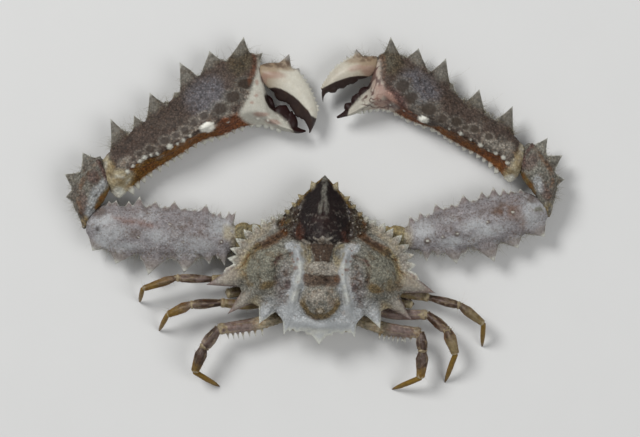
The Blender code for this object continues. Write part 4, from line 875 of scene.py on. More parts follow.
def makeWrist(side):
    spec, form = wrists[side], clawForms["wrist"]
    grid, place = limbGrid(spec["rows"], armSection, form["mesh"])
    roughSurface(grid, normalsOf(grid), form["swell"], 51, kind=cloudOn)
    pull = raiseSpines(grid, spec["spines"], form["edge"], 1.5, 0.9, 1.2)
    normals = normalsOf(grid)
    up = ease(-0.15, 0.35, normals[..., 2])
    ridge = ease(0.8, 0.1, lineDistance(grid[..., 0], grid[..., 1], spec["ridge"])) * up
    inner = ease(0.6, 0.1, lineDistance(grid[..., 0], grid[..., 1], spec["inner"])) * up
    grid += (0.35 * ridge + 0.25 * inner)[..., None] * normals
    roughSurface(grid, normals, form["granules"], 52, 1.0 - ease(0.3, 0.7, pull))
    x, y = wander(grid, 1.4, 0.35, 53)
    fine = cloudOn(grid, 0.9, 55)
    white = ease(1.5, 0.3, lineDistance(x, y, spec["white"])) * up * ease(-0.8, 0.0, fine)
    orange = region(x, y, spec["orange"], 0.35)
    paint, lay = firstCoat(grid, "shellGrey")
    lay(ease(-0.3, 0.5, cloudOn(grid, 2.0, 54)), "mauveGrey", 0.6)
    layStrokes(lay, x, y, spec["plum"], "plum", 0.55)
    lay(ease(0.7, 0.2, lineDistance(x, y, spec["ridge"])) * up * ease(-0.5, 0.3, fine), "orangeBrown", 0.5)
    lay(inner * ease(-0.8, 0.0, fine), "plum", 0.8)
    lay(white, "blueWhite", 0.65)
    lay(orange, "ochre", 0.85)
    lay(orange * ease(-0.1, 0.5, fine), "tawny", 0.7)
    lay(orange * ease(0.1, 0.6, -fine), "straw", 0.6)
    lay(patch(x, y, *spec["tail"]) * ease(-0.5, 0.2, fine), "straw", 0.7)
    lay(ease(0.12, 0.5, pull), "shellGrey", 0.35)
    lay(edgeLine(normals, place["across"], pull), "bone", 0.75)
    lay(ease(0.78, 0.96, pull), "bone", 0.8)
    lay(ease(0.2, -0.5, normals[..., 2]), "shellPale", 0.5)
    calm = np.maximum.reduce([ease(0.5, 0.85, pull) * 0.8, white * 0.4, orange * 0.5])
    piece = closedShell(f"{side}_wrist_shell", grid, paint, calm)
    where = ease(0.15, 0.02, place["across"]) * ease(0.5, 0.3, pull)
    hairs[f"{side}_wrist"] = (grid, normals, where, *form["hairs"], "olive")
    dress(piece, clawShell, [f"{side}_claw_carpus"], "claw_shell")


# The merus, or upper arm, of each claw. Ringed beads are white with a brown halo.
arms = {
    "left": {
        "rows": [
            (-15.8, 7.4, -15.8, 11.4, 3.6, 1.7, 2.1), (-18.8, 5.8, -18.8, 13.4, 3.9, 2.3, 2.9),
            (-23.2, 5.6, -23.2, 14.6, 4.2, 3.1, 3.3), (-28.2, 5.6, -28.2, 15.0, 4.3, 3.3, 3.4),
            (-34.2, 5.7, -34.2, 15.6, 4.3, 3.4, 3.4), (-40.2, 6.6, -39.2, 15.9, 4.3, 3.3, 3.3),
            (-44.2, 7.6, -43.6, 16.5, 4.3, 3.1, 3.1), (-47.4, 9.4, -46.9, 14.9, 4.2, 2.4, 2.4),
        ],
        "spines": [
            (-19.4, 6.4, -19.3, 3.7, 1.0), (-22.4, 6.2, -22.4, 4.1, 1.0), (-26.6, 6.4, -27.5, 2.4, 2.3),
            (-29.4, 6.3, -29.6, 4.8, 1.0), (-32.6, 6.8, -34.7, 2.0, 2.6), (-39.2, 7.6, -41.2, 4.2, 2.8),
            (-43.8, 8.8, -45.9, 6.8, 2.4), (-36.0, 6.4, -36.3, 5.2, 0.7), (-20.8, 6.2, -20.8, 5.2, 0.5),
            (-24.4, 6.0, -24.4, 5.0, 0.5), (-17.8, 12.8, -17.0, 14.9, 0.7), (-20.2, 13.6, -20.1, 14.8, 0.5),
            (-18.8, 13.2, -18.5, 14.9, 0.6), (-21.4, 13.8, -21.4, 14.6, 0.5), (-23.2, 13.8, -23.0, 16.2, 1.1),
            (-27.2, 14.4, -27.2, 15.5, 0.7), (-25.2, 14.2, -25.2, 15.3, 0.5), (-29.5, 14.2, -29.4, 16.9, 1.1),
            (-31.4, 14.8, -31.3, 15.9, 0.7), (-33.4, 14.8, -33.2, 16.9, 1.0), (-34.6, 15.0, -34.5, 16.1, 0.5),
            (-36.4, 14.8, -36.4, 17.8, 1.1), (-38.7, 15.3, -38.6, 16.9, 0.7), (-41.4, 15.4, -41.1, 17.0, 0.7),
            (-42.8, 15.8, -42.6, 16.9, 0.5),
        ],
        "ringed": [
            (-20.0, 8.6, 0.4, 0.2), (-27.6, 8.6, 0.3, 0.12), (-30.2, 12.2, 0.3, 0.12),
            (-36.6, 9.6, 0.3, 0.12),
        ],
        "rust": [
            (-41.8, 13.8), (-38.2, 13.4), (-34.6, 12.6), (-32.6, 11.8), (-33.8, 11.0), (-37.4, 12.0),
            (-41.0, 13.0),
        ],
        "rustColour": "rust",
        "brown": [(-26.4, 11.0, 4.0, 2.2, 0), (-38.0, 10.4, 2.6, 1.0, -10), (-36.4, 14.6, 3.0, 0.8, 0)],
        "white": [
            (-43.4, 12.8, 3.0, 1.1, 16), (-42.0, 10.6, 2.8, 1.8, 0), (-43.8, 8.8, 1.6, 1.6, 0),
            (-33.0, 9.8, 2.4, 1.2, 0), (-39.0, 7.8, 3.0, 0.8, 0), (-24.4, 8.0, 3.6, 1.4, 0),
            (-20.2, 11.6, 2.2, 2.2, 0),
        ],
        "spots": [(-44.8, 11.4, 0.5, 0.5, "umber"), (-44.6, 14.6, 1.5, 1.1, "legBrown")],
        "straw": [(-16.6, 9.4, 1.6, 3.2, 0), (-18.8, 10.4, 1.0, 1.6, 0)],
    },
    "right": {
        "rows": [
            (15.2, 7.4, 15.0, 11.0, 3.6, 1.7, 2.1), (18.6, 6.7, 18.2, 12.5, 3.9, 2.3, 2.9),
            (23.0, 6.8, 22.2, 14.2, 4.2, 3.1, 3.3), (28.0, 7.0, 27.0, 15.8, 4.3, 3.3, 3.4),
            (33.0, 7.8, 31.8, 17.0, 4.3, 3.4, 3.4), (37.4, 9.0, 36.6, 18.1, 4.3, 3.3, 3.3),
            (42.2, 10.2, 41.4, 19.0, 4.3, 3.1, 3.1), (45.9, 12.8, 44.9, 17.2, 4.2, 2.4, 2.4),
        ],
        "spines": [
            (20.8, 7.2, 21.2, 4.6, 1.1), (23.0, 7.3, 23.5, 5.4, 1.0), (25.8, 7.6, 27.2, 4.2, 2.1),
            (28.7, 7.6, 29.0, 6.2, 0.8), (32.8, 8.6, 34.8, 4.6, 2.4), (37.6, 9.8, 39.6, 7.3, 2.3),
            (42.4, 12.2, 44.9, 9.6, 2.2), (30.4, 7.8, 30.8, 6.6, 0.7), (18.0, 12.2, 17.8, 13.9, 0.8),
            (20.0, 12.8, 19.8, 14.7, 0.8), (21.4, 13.4, 21.4, 14.3, 0.5), (23.2, 14.0, 22.9, 16.4, 1.0),
            (24.8, 14.4, 24.8, 15.6, 0.6), (26.0, 15.0, 26.1, 16.3, 0.6), (27.2, 15.2, 27.2, 16.1, 0.4),
            (28.6, 15.6, 28.5, 18.2, 1.1), (30.4, 16.0, 30.4, 17.1, 0.5), (32.3, 16.6, 32.2, 18.8, 1.0),
            (34.6, 17.0, 34.6, 19.7, 1.1), (36.6, 17.4, 36.5, 19.4, 0.8), (38.6, 17.8, 38.0, 19.0, 0.6),
            (40.0, 18.2, 40.0, 19.3, 0.6),
        ],
        "ringed": [
            (21.3, 8.8, 0.6, 0.3), (27.2, 10.2, 0.5, 0.25), (38.4, 14.6, 0.5, 0.25), (24.4, 9.6, 0.35, 0.15),
            (33.4, 12.6, 0.35, 0.15),
        ],
        "rust": [
            (34.6, 14.6), (37.2, 16.6), (39.6, 16.4), (40.2, 14.4), (41.4, 12.6), (40.6, 11.2), (38.2, 13.2),
        ],
        "rustColour": "orangeBrown",
        "brown": [(35.4, 15.2, 3.2, 1.2, 16), (26.4, 12.6, 2.0, 1.4, 0), (30.8, 9.4, 1.6, 0.9, 0)],
        "white": [
            (43.2, 15.8, 2.4, 1.0, -6), (42.0, 13.6, 2.4, 1.8, 0), (34.0, 11.0, 3.2, 1.2, 12),
            (20.6, 10.8, 2.2, 2.4, 0), (30.4, 12.0, 2.6, 1.2, 12), (26.0, 8.6, 2.4, 0.9, 4),
        ],
        "spots": [(43.6, 14.9, 0.8, 0.7, "olive"), (42.6, 17.3, 1.5, 1.0, "legBrown")],
        "straw": [(16.4, 9.2, 1.8, 3.0, 0)],
    },
}


def makeArm(side):
    spec, form = arms[side], clawForms["arm"]
    grid, place = limbGrid(spec["rows"], armSection, form["mesh"])
    roughSurface(grid, normalsOf(grid), form["swell"], 61, kind=cloudOn)
    pull = raiseSpines(grid, spec["spines"], form["edge"], 1.4, 0.9, 1.2)
    normals = normalsOf(grid)
    knobs = raiseBumps(grid, normals, spec["ringed"])
    roughSurface(grid, normals, form["granules"], 62, 1.0 - ease(0.3, 0.7, pull))
    across = place["across"]
    up = ease(-0.15, 0.35, normals[..., 2])
    x, y = wander(grid, 1.8, 0.5, 63)
    fine = cloudOn(grid, 0.9, 67)
    paint, lay = firstCoat(grid, "lilac")
    lay(ease(-0.1, 0.6, cloudOn(grid, 3.0, 64)), "legPink", 0.2)
    lay(ease(0.0, 0.6, cloudOn(grid, 2.2, 66)), "blueWhite", 0.4)
    layStrokes(lay, x, y, spec["brown"], "legBrown", 0.6, ease(-0.3, 0.4, fine), 0.7)
    white = np.maximum.reduce([patch(x, y, *stroke, 0.8) for stroke in spec["white"]])
    lay(white * ease(-1.0, 0.1, fine), "blueWhite", 0.6)
    lay(region(x, y, spec["rust"], 0.9) * ease(-0.7, 0.3, fine), spec["rustColour"], 0.5)
    for cx, cy, rx, ry, colour in spec["spots"]:
        lay(patch(x, y, cx, cy, rx, ry) * ease(-0.8, 0.1, fine) * up, colour, 0.65)
    layStrokes(lay, x, y, spec["straw"], "cream", 0.7, ease(-0.9, 0.0, fine), 0.5)
    for cx, cy, radius, _ in spec["ringed"]:
        away = np.hypot(grid[..., 0] - cx, grid[..., 1] - cy)
        lay(ease(radius * 1.6, radius * 0.7, away) * up, "legBrown", 0.7)
        lay(ease(radius * 0.55, radius * 0.25, away) * up, "bone", 0.9)
    onSpine = ease(0.10, 0.45, pull)
    rear = ease(0.5, 0.2, across)
    lay(onSpine * (1.0 - 0.6 * rear), "legPink", 0.55)
    lay(onSpine * rear, "shellPale", 0.35)
    lay(edgeLine(normals, np.minimum(across, 1.0 - across), pull), "bone", 0.8)
    lay(ease(0.6, 0.9, pull), "bone", 0.8)
    lay(ease(0.2, -0.5, normals[..., 2]), "shellPale", 0.4)
    calm = np.maximum.reduce([ease(0.5, 0.85, pull) * 0.8, ease(0.2, 0.6, knobs), white * 0.6, onSpine * 0.5])
    piece = closedShell(f"{side}_arm_shell", grid, paint, calm)
    where = (ease(0.12, 0.02, across) + 0.3 * ease(0.9, 1.0, across)) * ease(0.5, 0.3, pull)
    hairs[f"{side}_arm"] = (grid, normals, where, *form["hairs"], "olive")
    dress(piece, armShell, [f"{side}_claw_merus"], "claw_shell")


# Short basal piece of each claw, from the belly to the upper arm
armBases = {
    "left": [
        (-7.4, 7.0, -7.6, 10.4, 2.8, 1.3, 1.5), (-12.4, 6.0, -12.2, 12.0, 3.1, 1.9, 1.9),
        (-15.8, 6.2, -15.6, 12.6, 3.5, 2.1, 2.1), (-17.8, 7.2, -17.6, 12.2, 3.7, 1.9, 1.9),
    ],
    "right": [
        (7.6, 6.6, 7.6, 10.0, 2.8, 1.3, 1.5), (12.2, 6.0, 12.0, 11.6, 3.1, 1.9, 1.9),
        (15.6, 6.6, 15.2, 12.0, 3.5, 2.1, 2.1), (17.4, 7.4, 17.2, 11.8, 3.7, 1.9, 1.9),
    ],
}


def makeArmBase(side):
    form = clawForms["armBase"]
    grid, place = limbGrid(armBases[side], armSection, form["mesh"])
    normals = normalsOf(grid)
    waist = 0.35 * ease(0.07, 0.0, np.abs(place["share"] - 0.52))
    roughSurface(grid, normals, form["swell"], 71, kind=cloudOn)
    grid -= waist[..., None] * normals
    grid[..., 2] = np.maximum(grid[..., 2], 0.0)
    paint, lay = firstCoat(grid, "straw")
    lay(ease(-0.2, 0.6, cloudOn(grid, 1.8, 72)), "moss", 0.6)
    lay(ease(0.0, 0.6, cloudOn(grid, 0.8, 73)), "olive", 0.5)
    lay(ease(0.1, 0.7, -cloudOn(grid, 1.2, 74)), "cream", 0.6)
    piece = closedShell(f"{side}_arm_base_shell", grid, paint, 0.2)
    hairs[f"{side}_base"] = (grid, normals, ease(-0.2, 0.4, normals[..., 2]), *form["hairs"], "straw")
    dress(piece, clawShell, [f"{side}_claw_base"], "leg_shell")


for side in ("left", "right"):
    makePalm(side)
    makeFinger(side)
    makeWrist(side)
    makeArm(side)
    makeArmBase(side)
print("claws ready")


# Carapace. Its places are in its own axes: x away from the middle line, y forwards. Each is on both sides.
carapace = {
    "x": 0.1, "y": 3.0, "turn": -2.0, "crown": 12.6, "frontEdge": 6.4, "rearEdge": 7.6, "floor": 4.5,
    "around": 600, "topRings": 116, "floorRings": 26,
    "outline": [
        (0.0, 19.0), (1.1, 17.9), (2.4, 16.6), (3.9, 15.1), (5.4, 13.5), (6.9, 11.8), (8.6, 10.2),
        (11.0, 9.0), (13.2, 7.7), (15.0, 6.1), (16.4, 4.1), (17.2, 1.7), (17.4, -0.6), (17.0, -2.4),
        (16.4, -3.8), (15.4, -5.4), (13.8, -7.0), (11.6, -8.0), (9.4, -8.5), (7.9, -9.7), (6.8, -11.3),
        (5.0, -12.1), (2.8, -12.5), (1.2, -13.0), (0.0, -13.2),
    ],
    "swellings": [
        (0.0, 8.4, 4.2, 1.7), (0.0, 15.5, 2.4, 0.5), (0.0, 0.6, 2.4, 1.1), (0.0, -6.2, 3.3, 2.1),
        (10.8, 1.6, 3.9, 2.0), (11.8, -2.2, 2.8, 1.0), (9.6, -5.2, 2.4, 0.9), (7.2, 9.6, 1.6, 0.6),
        (12.8, 7.0, 1.5, 0.6), (7.0, -2.4, 1.5, 0.6), (6.3, 4.7, 1.0, 0.8), (0.0, -2.3, 1.6, -1.1),
        (0.0, 4.2, 1.8, 0.4), (0.0, -8.1, 0.8, 0.5), (4.8, 3.2, 1.0, 0.4), (5.2, -6.6, 1.4, 0.4),
    ],
    "ridges": [  # broken line, width, height
        ([(4.9, 3.8), (4.3, 0.6), (4.5, -2.8), (5.5, -6.0), (5.9, -8.6)], 0.75, 0.95),
        ([(10.8, -2.8), (14.0, -5.8), (17.8, -9.0)], 0.9, 1.1),
        ([(13.4, -0.6), (18.0, -2.4), (22.4, -3.7)], 0.9, 0.7),
        ([(7.8, 7.0), (10.4, 5.3), (12.8, 4.3), (14.6, 2.6), (15.5, 0.6), (15.6, -1.4)], 0.65, -1.15),
        ([(6.6, 2.9), (8.4, 2.2), (9.2, 1.0), (9.4, -1.2), (8.6, -3.6)], 0.5, -0.7),
        ([(5.0, 12.6), (5.5, 9.4), (5.3, 6.2)], 0.5, -0.7),
        ([(0.4, 18.2), (0.5, 14.4), (0.7, 11.2)], 0.28, 0.35), ([(0.0, 17.8), (0.0, 11.0)], 0.22, -0.3),
        ([(1.6, 17.0), (4.6, 14.0), (6.2, 12.2)], 0.4, 0.4),
        ([(0.0, 5.3), (2.4, 5.4), (4.2, 6.2)], 0.4, -0.5), ([(0.0, 1.7), (2.2, 1.7)], 0.35, -0.35),
        ([(2.6, 5.0), (2.2, 2.2)], 0.4, -0.4), ([(0.0, -11.6), (5.0, -10.8), (7.4, -9.0)], 0.8, 0.5),
        ([(3.9, -3.4), (4.4, -6.6), (3.5, -9.2), (0.0, -10.3)], 0.6, -0.6),
        ([(9.0, -7.4), (10.6, -9.0), (12.0, -11.0)], 0.8, 0.8), ([(7.6, -4.0), (7.8, -8.0)], 0.6, -0.4),
    ],
    "beads": [  # pale beads, x, y, radius, height
        (4.5, 12.7, 0.3, 0.25), (4.7, 11.8, 0.3, 0.25), (5.0, 10.9, 0.35, 0.3), (5.1, 13.7, 0.4, 0.4),
        (0.0, 6.0, 0.6, 0.4), (0.0, -8.1, 0.75, 0.6), (0.0, 0.8, 0.8, 0.4), (5.4, 4.4, 0.5, 0.4),
        (6.4, -5.2, 0.45, 0.3), (6.0, 9.6, 0.35, 0.25), (6.9, 8.8, 0.35, 0.25), (7.6, 10.2, 0.35, 0.25),
        (8.6, 8.8, 0.4, 0.3), (6.2, 11.0, 0.3, 0.25), (11.6, -2.6, 0.5, 0.35), (5.6, 8.2, 0.3, 0.25),
        (5.5, 7.2, 0.3, 0.25), (5.2, 9.9, 0.3, 0.25), (2.6, 11.1, 0.22, 0.15), (3.3, 10.8, 0.22, 0.15),
        (7.4, 7.6, 0.3, 0.2), (6.6, 6.6, 0.35, 0.25),
    ],
    "spines": [  # root x, y, tip x, y, tip height, half width, sharpness, colour, edge colour
        (16.8, -1.6, 23.0, -3.8, 6.8, 2.0, 1.05, "shellPale", "legPink"),
        (14.9, -5.8, 18.5, -9.5, 7.6, 1.5, 1.2, "shellPale", "legPink"),
        (10.4, -8.2, 12.1, -11.2, 9.0, 1.5, 1.0, "blueWhite", "bone"),
        (6.9, -11.2, 7.1, -13.3, 7.2, 0.65, 1.0, "blueWhite", "bone"),
        (0.0, -12.6, 0.0, -15.0, 7.6, 1.8, 1.5, "blueWhite", "bone"),
        (2.5, 15.9, 2.7, 17.8, 6.6, 0.6, 1.0, "cream", "cream"),
        (2.4, -12.5, 2.5, -13.0, 7.2, 0.6, 0.6, "blueWhite", "bone"),
        (4.3, -12.2, 4.6, -12.7, 7.2, 0.6, 0.6, "blueWhite", "bone"),
        (5.7, -11.8, 6.0, -12.6, 7.2, 0.42, 0.8, "blueWhite", "bone"),
        (17.1, -0.3, 18.6, 0.0, 6.8, 0.6, 0.8, "legPink", "bone"),
        (16.9, 1.2, 18.9, 1.7, 6.8, 0.78, 0.72, "shellPale", "bone"),
        (16.5, 3.0, 18.5, 3.7, 6.8, 0.78, 0.72, "shellPale", "bone"),
        (15.6, 4.8, 17.4, 5.7, 6.8, 0.78, 0.72, "shellPale", "bone"),
        (14.3, 6.3, 15.9, 7.6, 6.8, 0.78, 0.72, "shellPale", "bone"),
        (12.9, 7.4, 14.1, 8.9, 6.7, 0.74, 0.72, "shellPale", "bone"),
        (11.4, 8.3, 12.3, 9.8, 6.7, 0.74, 0.72, "shellPale", "bone"),
        (9.9, 9.1, 10.5, 10.5, 6.6, 0.68, 0.72, "shellPale", "bone"),
        (8.6, 9.9, 9.1, 11.0, 6.5, 0.5, 0.8, "shellPale", "bone"),
        (7.2, 10.9, 7.8, 11.8, 6.5, 0.45, 0.8, "straw", "cream"),
        (5.8, 12.6, 6.5, 13.3, 6.5, 0.4, 0.8, "straw", "cream"),
        (4.6, 14.2, 5.3, 15.0, 6.4, 0.45, 0.8, "straw", "cream"),
    ],
}


def turned(x, y):
    # From the carapace's own axes to the crab's
    turn = math.radians(carapace["turn"])
    c, s = math.cos(turn), math.sin(turn)
    return carapace["x"] + x * c - y * s, carapace["y"] + x * s + y * c


def outlineReach(angle):
    # Distance from the middle to the outline, read off the smoothed half outline at each angle
    half = catmull(carapace["outline"], np.linspace(0.0, len(carapace["outline"]) - 1, 400))
    direction = np.arctan2(half[:, 1], half[:, 0])
    seen = np.arctan2(np.sin(angle), np.abs(np.cos(angle)))
    return np.interp(seen, direction[::-1], np.hypot(half[:, 0], half[:, 1])[::-1])


def carapaceHeight(x, y, f):
    # Edge height + dome x (1 - f^2.2) + relief x (1 - f^6), f being the share of the way to the edge
    front, rear = carapace["frontEdge"], carapace["rearEdge"]
    edge = front + (rear - front) * np.clip((12.0 - y) / 24.0, 0, 1)
    ax = np.abs(x)
    relief = 0.0
    for cx, cy, radius, height in carapace["swellings"]:
        relief = relief + height * np.exp(-((ax - cx) ** 2 + (y - cy) ** 2) / radius**2)
    for line, width, height in carapace["ridges"]:
        relief = relief + height * np.exp(-(lineDistance(ax, y, line) / width) ** 2)
    return edge, edge + (carapace["crown"] - 0.4 - edge) * (1.0 - f**2.2) + relief * (1.0 - f**6)


def paintCarapace(x, y, top, own):
    # Each line lays one marking of the shell, but for the thin umber line in the groove beside the pale ridge,
    # which is painted shade; worm is a fine irregular network of pale and dark
    ax = np.abs(x)
    worm = 1.0 - np.abs(cloudOn(own, 1.1, 101, 2)) * 2.2
    blot = cloudOn(own, 1.7, 103)
    paint, lay = firstCoat(own, "shellGrey")

    def along(points, wide, fade):
        return ease(wide + fade, wide, lineDistance(ax, y, points))

    rimLine = [(8.6, 9.8), (11.8, 8.4), (14.2, 6.6), (15.8, 4.4), (16.8, 1.8), (17.0, -1.0)]
    lay(patch(ax, y, 11.6, 0.6, 4.6, 4.0), "moss", 0.5)
    lay(along(rimLine, 0.9, 1.0), "shellPale", 0.9)
    lay(along(rimLine, 0.5, 1.6) * ease(-0.4, 0.6, blot), "cream", 0.8)
    lay(along(rimLine, 0.6, 1.2) * ease(0.1, 0.6, -blot), "blueWhite", 0.5)
    lay(patch(ax, y, 12.8, 7.0, 3.4, 0.9, -38) * ease(-0.1, 0.5, -blot), "straw", 0.5)
    hepatic = region(ax, y, [(1.2, 18.2), (4.6, 14.6), (6.6, 12.4), (8.8, 10.2), (9.6, 8.8), (8.4, 7.2),
                             (6.2, 6.2), (4.0, 6.0), (0.0, 8.0), (-1.0, 18.0)], 0.5)
    lay(hepatic, "umber", 0.95)
    lay(hepatic * ease(0.5, 0.95, worm), "shellGrey", 0.35)
    lay(hepatic * patch(ax, y, 7.6, 9.8, 1.2, 1.0) * ease(-0.3, 0.4, blot), "ochre", 0.45)
    lay(along([(8.1, 10.0), (8.4, 8.8)], 0.15, 0.4), "orangeBrown", 0.6)
    lay(along([(4.7, 12.9), (5.1, 11.0), (5.7, 8.8), (5.4, 6.8)], 0.15, 0.35) * ease(0.3, 0.8, worm),
        "lilac", 0.7)
    grooveAll = [(7.8, 7.1), (10.4, 5.3), (12.8, 4.3), (14.6, 2.6), (15.5, 0.6), (15.6, -1.4)]
    lay(along(grooveAll[:3], 0.35, 0.85) * ease(-0.9, 0.1, blot), "orangeBrown", 0.7)
    lay(along(grooveAll[2:], 0.30, 0.7) * ease(-0.6, 0.2, blot), "straw", 0.75)
    lay(along(grooveAll[:4], 0.1, 0.6) * ease(-0.5, 0.1, worm - 0.5), "umber", 0.75)
    lay(along(grooveAll[3:], 0.08, 0.3) * ease(-0.4, 0.2, blot), "orangeBrown", 0.6)
    lay(along([(8.4, 6.0), (10.6, 4.4), (12.4, 3.5)], 0.1, 0.4) * ease(-0.2, 0.4, -blot), "ochre", 0.5)
    lay(along([(6.6, 2.9), (8.4, 2.3), (9.3, 1.2), (9.5, -1.2), (8.6, -3.4)], 0.1, 0.8)
        * ease(-0.2, 0.4, blot), "legBrown", 0.65)
    lay(patch(ax, y, 8.8, 2.1, 0.6, 0.4) + patch(ax, y, 9.2, 1.3, 0.4, 0.3), "plum", 0.6)
    lay(patch(ax, y, 10.6, -3.3, 1.6, 0.8, -20), "ochre", 0.65)
    lay(patch(ax, y, 13.8, -2.6, 1.6, 1.4) * ease(-0.3, 0.4, blot), "ochre", 0.45)
    lay(patch(ax, y, 13.4, -7.4, 2.2, 1.3, -38), "cream", 0.6)
    lay(patch(ax, y, 13.0, -7.0, 1.6, 0.7, -38) * ease(-0.3, 0.4, blot), "ochre", 0.5)
    lay(patch(ax, y, 9.2, -6.6, 1.9, 2.2) * ease(-0.4, 0.5, -blot), "shellPale", 0.5)
    lay(patch(ax, y, 7.3, -3.4, 1.6, 4.8, 0, 0.6), "lilac", 0.6)
    lay(patch(ax, y, 9.4, -7.4, 2.6, 1.6, 20, 0.5), "blueWhite", 0.55)
    lay(patch(ax, y, 7.3, -2.2, 1.0, 2.4) * ease(-0.2, 0.3, worm - 0.5), "legBrown", 0.7)
    lay(patch(ax, y, 7.5, -6.4, 0.9, 2.2) * ease(0.0, 0.5, worm - 0.5), "plum", 0.5)
    lay(patch(ax, y, 6.0, 3.1, 0.5, 0.4), "orangeBrown", 0.6)
    lay(patch(ax, y, 6.3, 4.7, 1.1, 0.9), "blueWhite", 0.85)
    broken = ease(-0.6, 0.25, cloudOn(own, 0.8, 110, 2))
    lay(along([(5.0, 3.9), (4.4, 0.6), (4.5, -2.8)], 0.4, 1.3) * (0.7 + 0.3 * broken), "blueWhite", 0.95)
    lay(along([(4.7, -3.0), (5.5, -6.0), (5.9, -8.8)], 0.7, 1.9) * (0.6 + 0.4 * broken), "blueWhite", 0.95)
    lay(along([(4.5, 1.0), (4.5, -2.8), (5.4, -6.0)], 0.3, 0.7) * broken, "bone", 0.55)
    speckled = ease(0.6, 0.9, grainsOn(own, 0.9, 108)) * ease(-0.1, 0.4, cloudOn(own, 1.5, 109))
    lay(along([(5.4, 4.4), (4.8, 0.6), (5.2, -2.8), (6.2, -6.0)], 0.7, 0.8) * speckled, "rust", 0.6)
    lay(patch(ax, y, 5.1, 0.3, 0.45, 0.4) + patch(ax, y, 4.9, 2.0, 0.3, 0.4), "rust", 0.5)
    lay(patch(ax, y, 6.6, -3.1, 0.6, 0.9), "plum", 0.6)
    lay(region(ax, y, [(2.2, 5.2), (4.2, 5.8), (4.4, 3.4), (3.8, 1.0), (3.2, -0.6), (2.2, 1.6)], 0.3)
        * ease(-0.4, 0.4, blot), "straw", 0.65)
    lay(ease(-8.2, -9.6, y + 0.9 * np.cos(ax / 2.6) - 0.9) * ease(9.4, 7.8, ax), "blueWhite", 0.92)
    lay(ease(-11.3, -12.2, y), "bone", 0.6)
    lay(patch(ax, y, 0.0, -6.2, 4.0, 3.6, 0, 0.12), "shellGrey", 0.9)
    lay(patch(ax, y, 0.0, -5.6, 3.4, 2.8) * ease(0.2, 0.8, worm), "shellPale", 0.85)
    crescent = ease(0.8, 0.2, np.abs(np.hypot(ax / 3.7, (y + 6.0) / 3.6) - 0.94) * 3.6)
    lay(crescent * ease(-4.6, -7.0, y), "ochre", 0.7)
    lay(patch(ax, y, 0.0, -8.2, 0.9, 0.8), "ochre", 0.55)
    lay(patch(ax, y, 0.0, -8.1, 0.35, 0.35), "cream", 0.8)
    # Painted shade: a thin umber line down the sunken groove on the inner side of the pale ridge
    lay(along([(4.15, -4.0), (4.4, -6.6)], 0.05, 0.3), "umber", 0.45)
    lay(patch(ax, y, 0.0, 0.4, 3.4, 1.3, 0, 0.3), "shellPale", 0.85)
    lay(region(ax, y, [(-1.0, -0.9), (1.6, -1.0), (3.4, -0.7), (3.8, -1.8), (3.3, -3.0), (1.6, -3.2),
                       (-1.0, -3.0)], 0.35), "legBrown", 0.8)
    lay(patch(ax, y, 0.0, -2.0, 1.7, 0.9) * ease(-0.4, 0.2, blot), "umber", 0.8)
    lay(patch(ax, y, 3.2, -1.7, 0.6, 0.8) * ease(-0.6, 0.3, blot), "orangeBrown", 0.6)
    trapezoid = ease(-0.1, 0.3, 2.5 - 0.26 * (5.4 - y) - ax) * ease(5.6, 5.1, y) * ease(1.4, 1.9, y)
    lay(trapezoid, "sienna", 0.92)
    lay(trapezoid * ease(0.72, 0.95, grainsOn(own, 0.85, 104)), "shellPale", 0.6)
    half = np.interp(y, [5.0, 5.8, 7.4, 9.6, 12.2, 15.0, 16.9, 18.2], [3.2, 4.7, 5.3, 5.2, 4.2, 3.0, 1.7, 0.5])
    gastric = ease(1.0, -0.5, ax - half - cloudOn(own, 0.8, 105)) * ease(4.9, 5.7, y) * ease(18.6, 17.6, y)
    lay(gastric, "cocoa", 0.96)
    lay(along([(5.4, 10.5), (5.4, 8.0), (5.0, 6.2)], 0.2, 0.8) * ease(-0.5, 0.3, blot), "umber", 0.8)
    lay(gastric * patch(ax, y, 4.6, 7.2, 1.1, 1.9) * ease(-0.4, 0.4, blot), "legRed", 0.5)
    lay(gastric * patch(ax, y, 0.0, 9.6, 2.6, 3.4) * ease(-0.3, 0.4, blot), "plum", 0.18)
    dots = ease(0.10, 0.45, cloudOn(own, 0.5, 106, 2)) * ease(-0.6, 0.3, cloudOn(own, 1.4, 107))
    lay(gastric * dots * patch(ax, y, 0.0, 8.4, 5.0, 4.4), "shellPale", 0.28)
    lay(along([(0.0, 6.5), (0.8, 5.9), (1.6, 6.5)], 0.10, 0.25), "shellPale", 0.8)
    lay(along([(0.0, 5.6), (2.4, 5.4), (4.0, 5.9)], 0.05, 0.3) * ease(0.2, 0.7, worm), "shellPale", 0.7)
    chalk = ease(-0.7, 0.2, cloudOn(own, 0.7, 112, 2))
    lay(ease(0.8, 0.3, ax) * ease(18.8, 18.2, y) * ease(13.3, 14.1, y) * chalk, "shellGrey", 0.75)
    lay(patch(ax, y, 0.62, 12.4, 0.45, 1.3, 6, 0.4) * chalk, "shellGrey", 0.75)
    lay(along([(0.9, 18.4), (2.9, 16.1), (4.6, 14.2), (5.2, 13.0)], 0.10, 0.45), "ochre", 0.75)
    lay(along([(3.4, 15.6), (4.8, 13.8)], 0.05, 0.25) * ease(0.0, 0.5, blot), "cream", 0.8)
    lay(1.0 - top, "cream", 0.75)
    return paint, lay


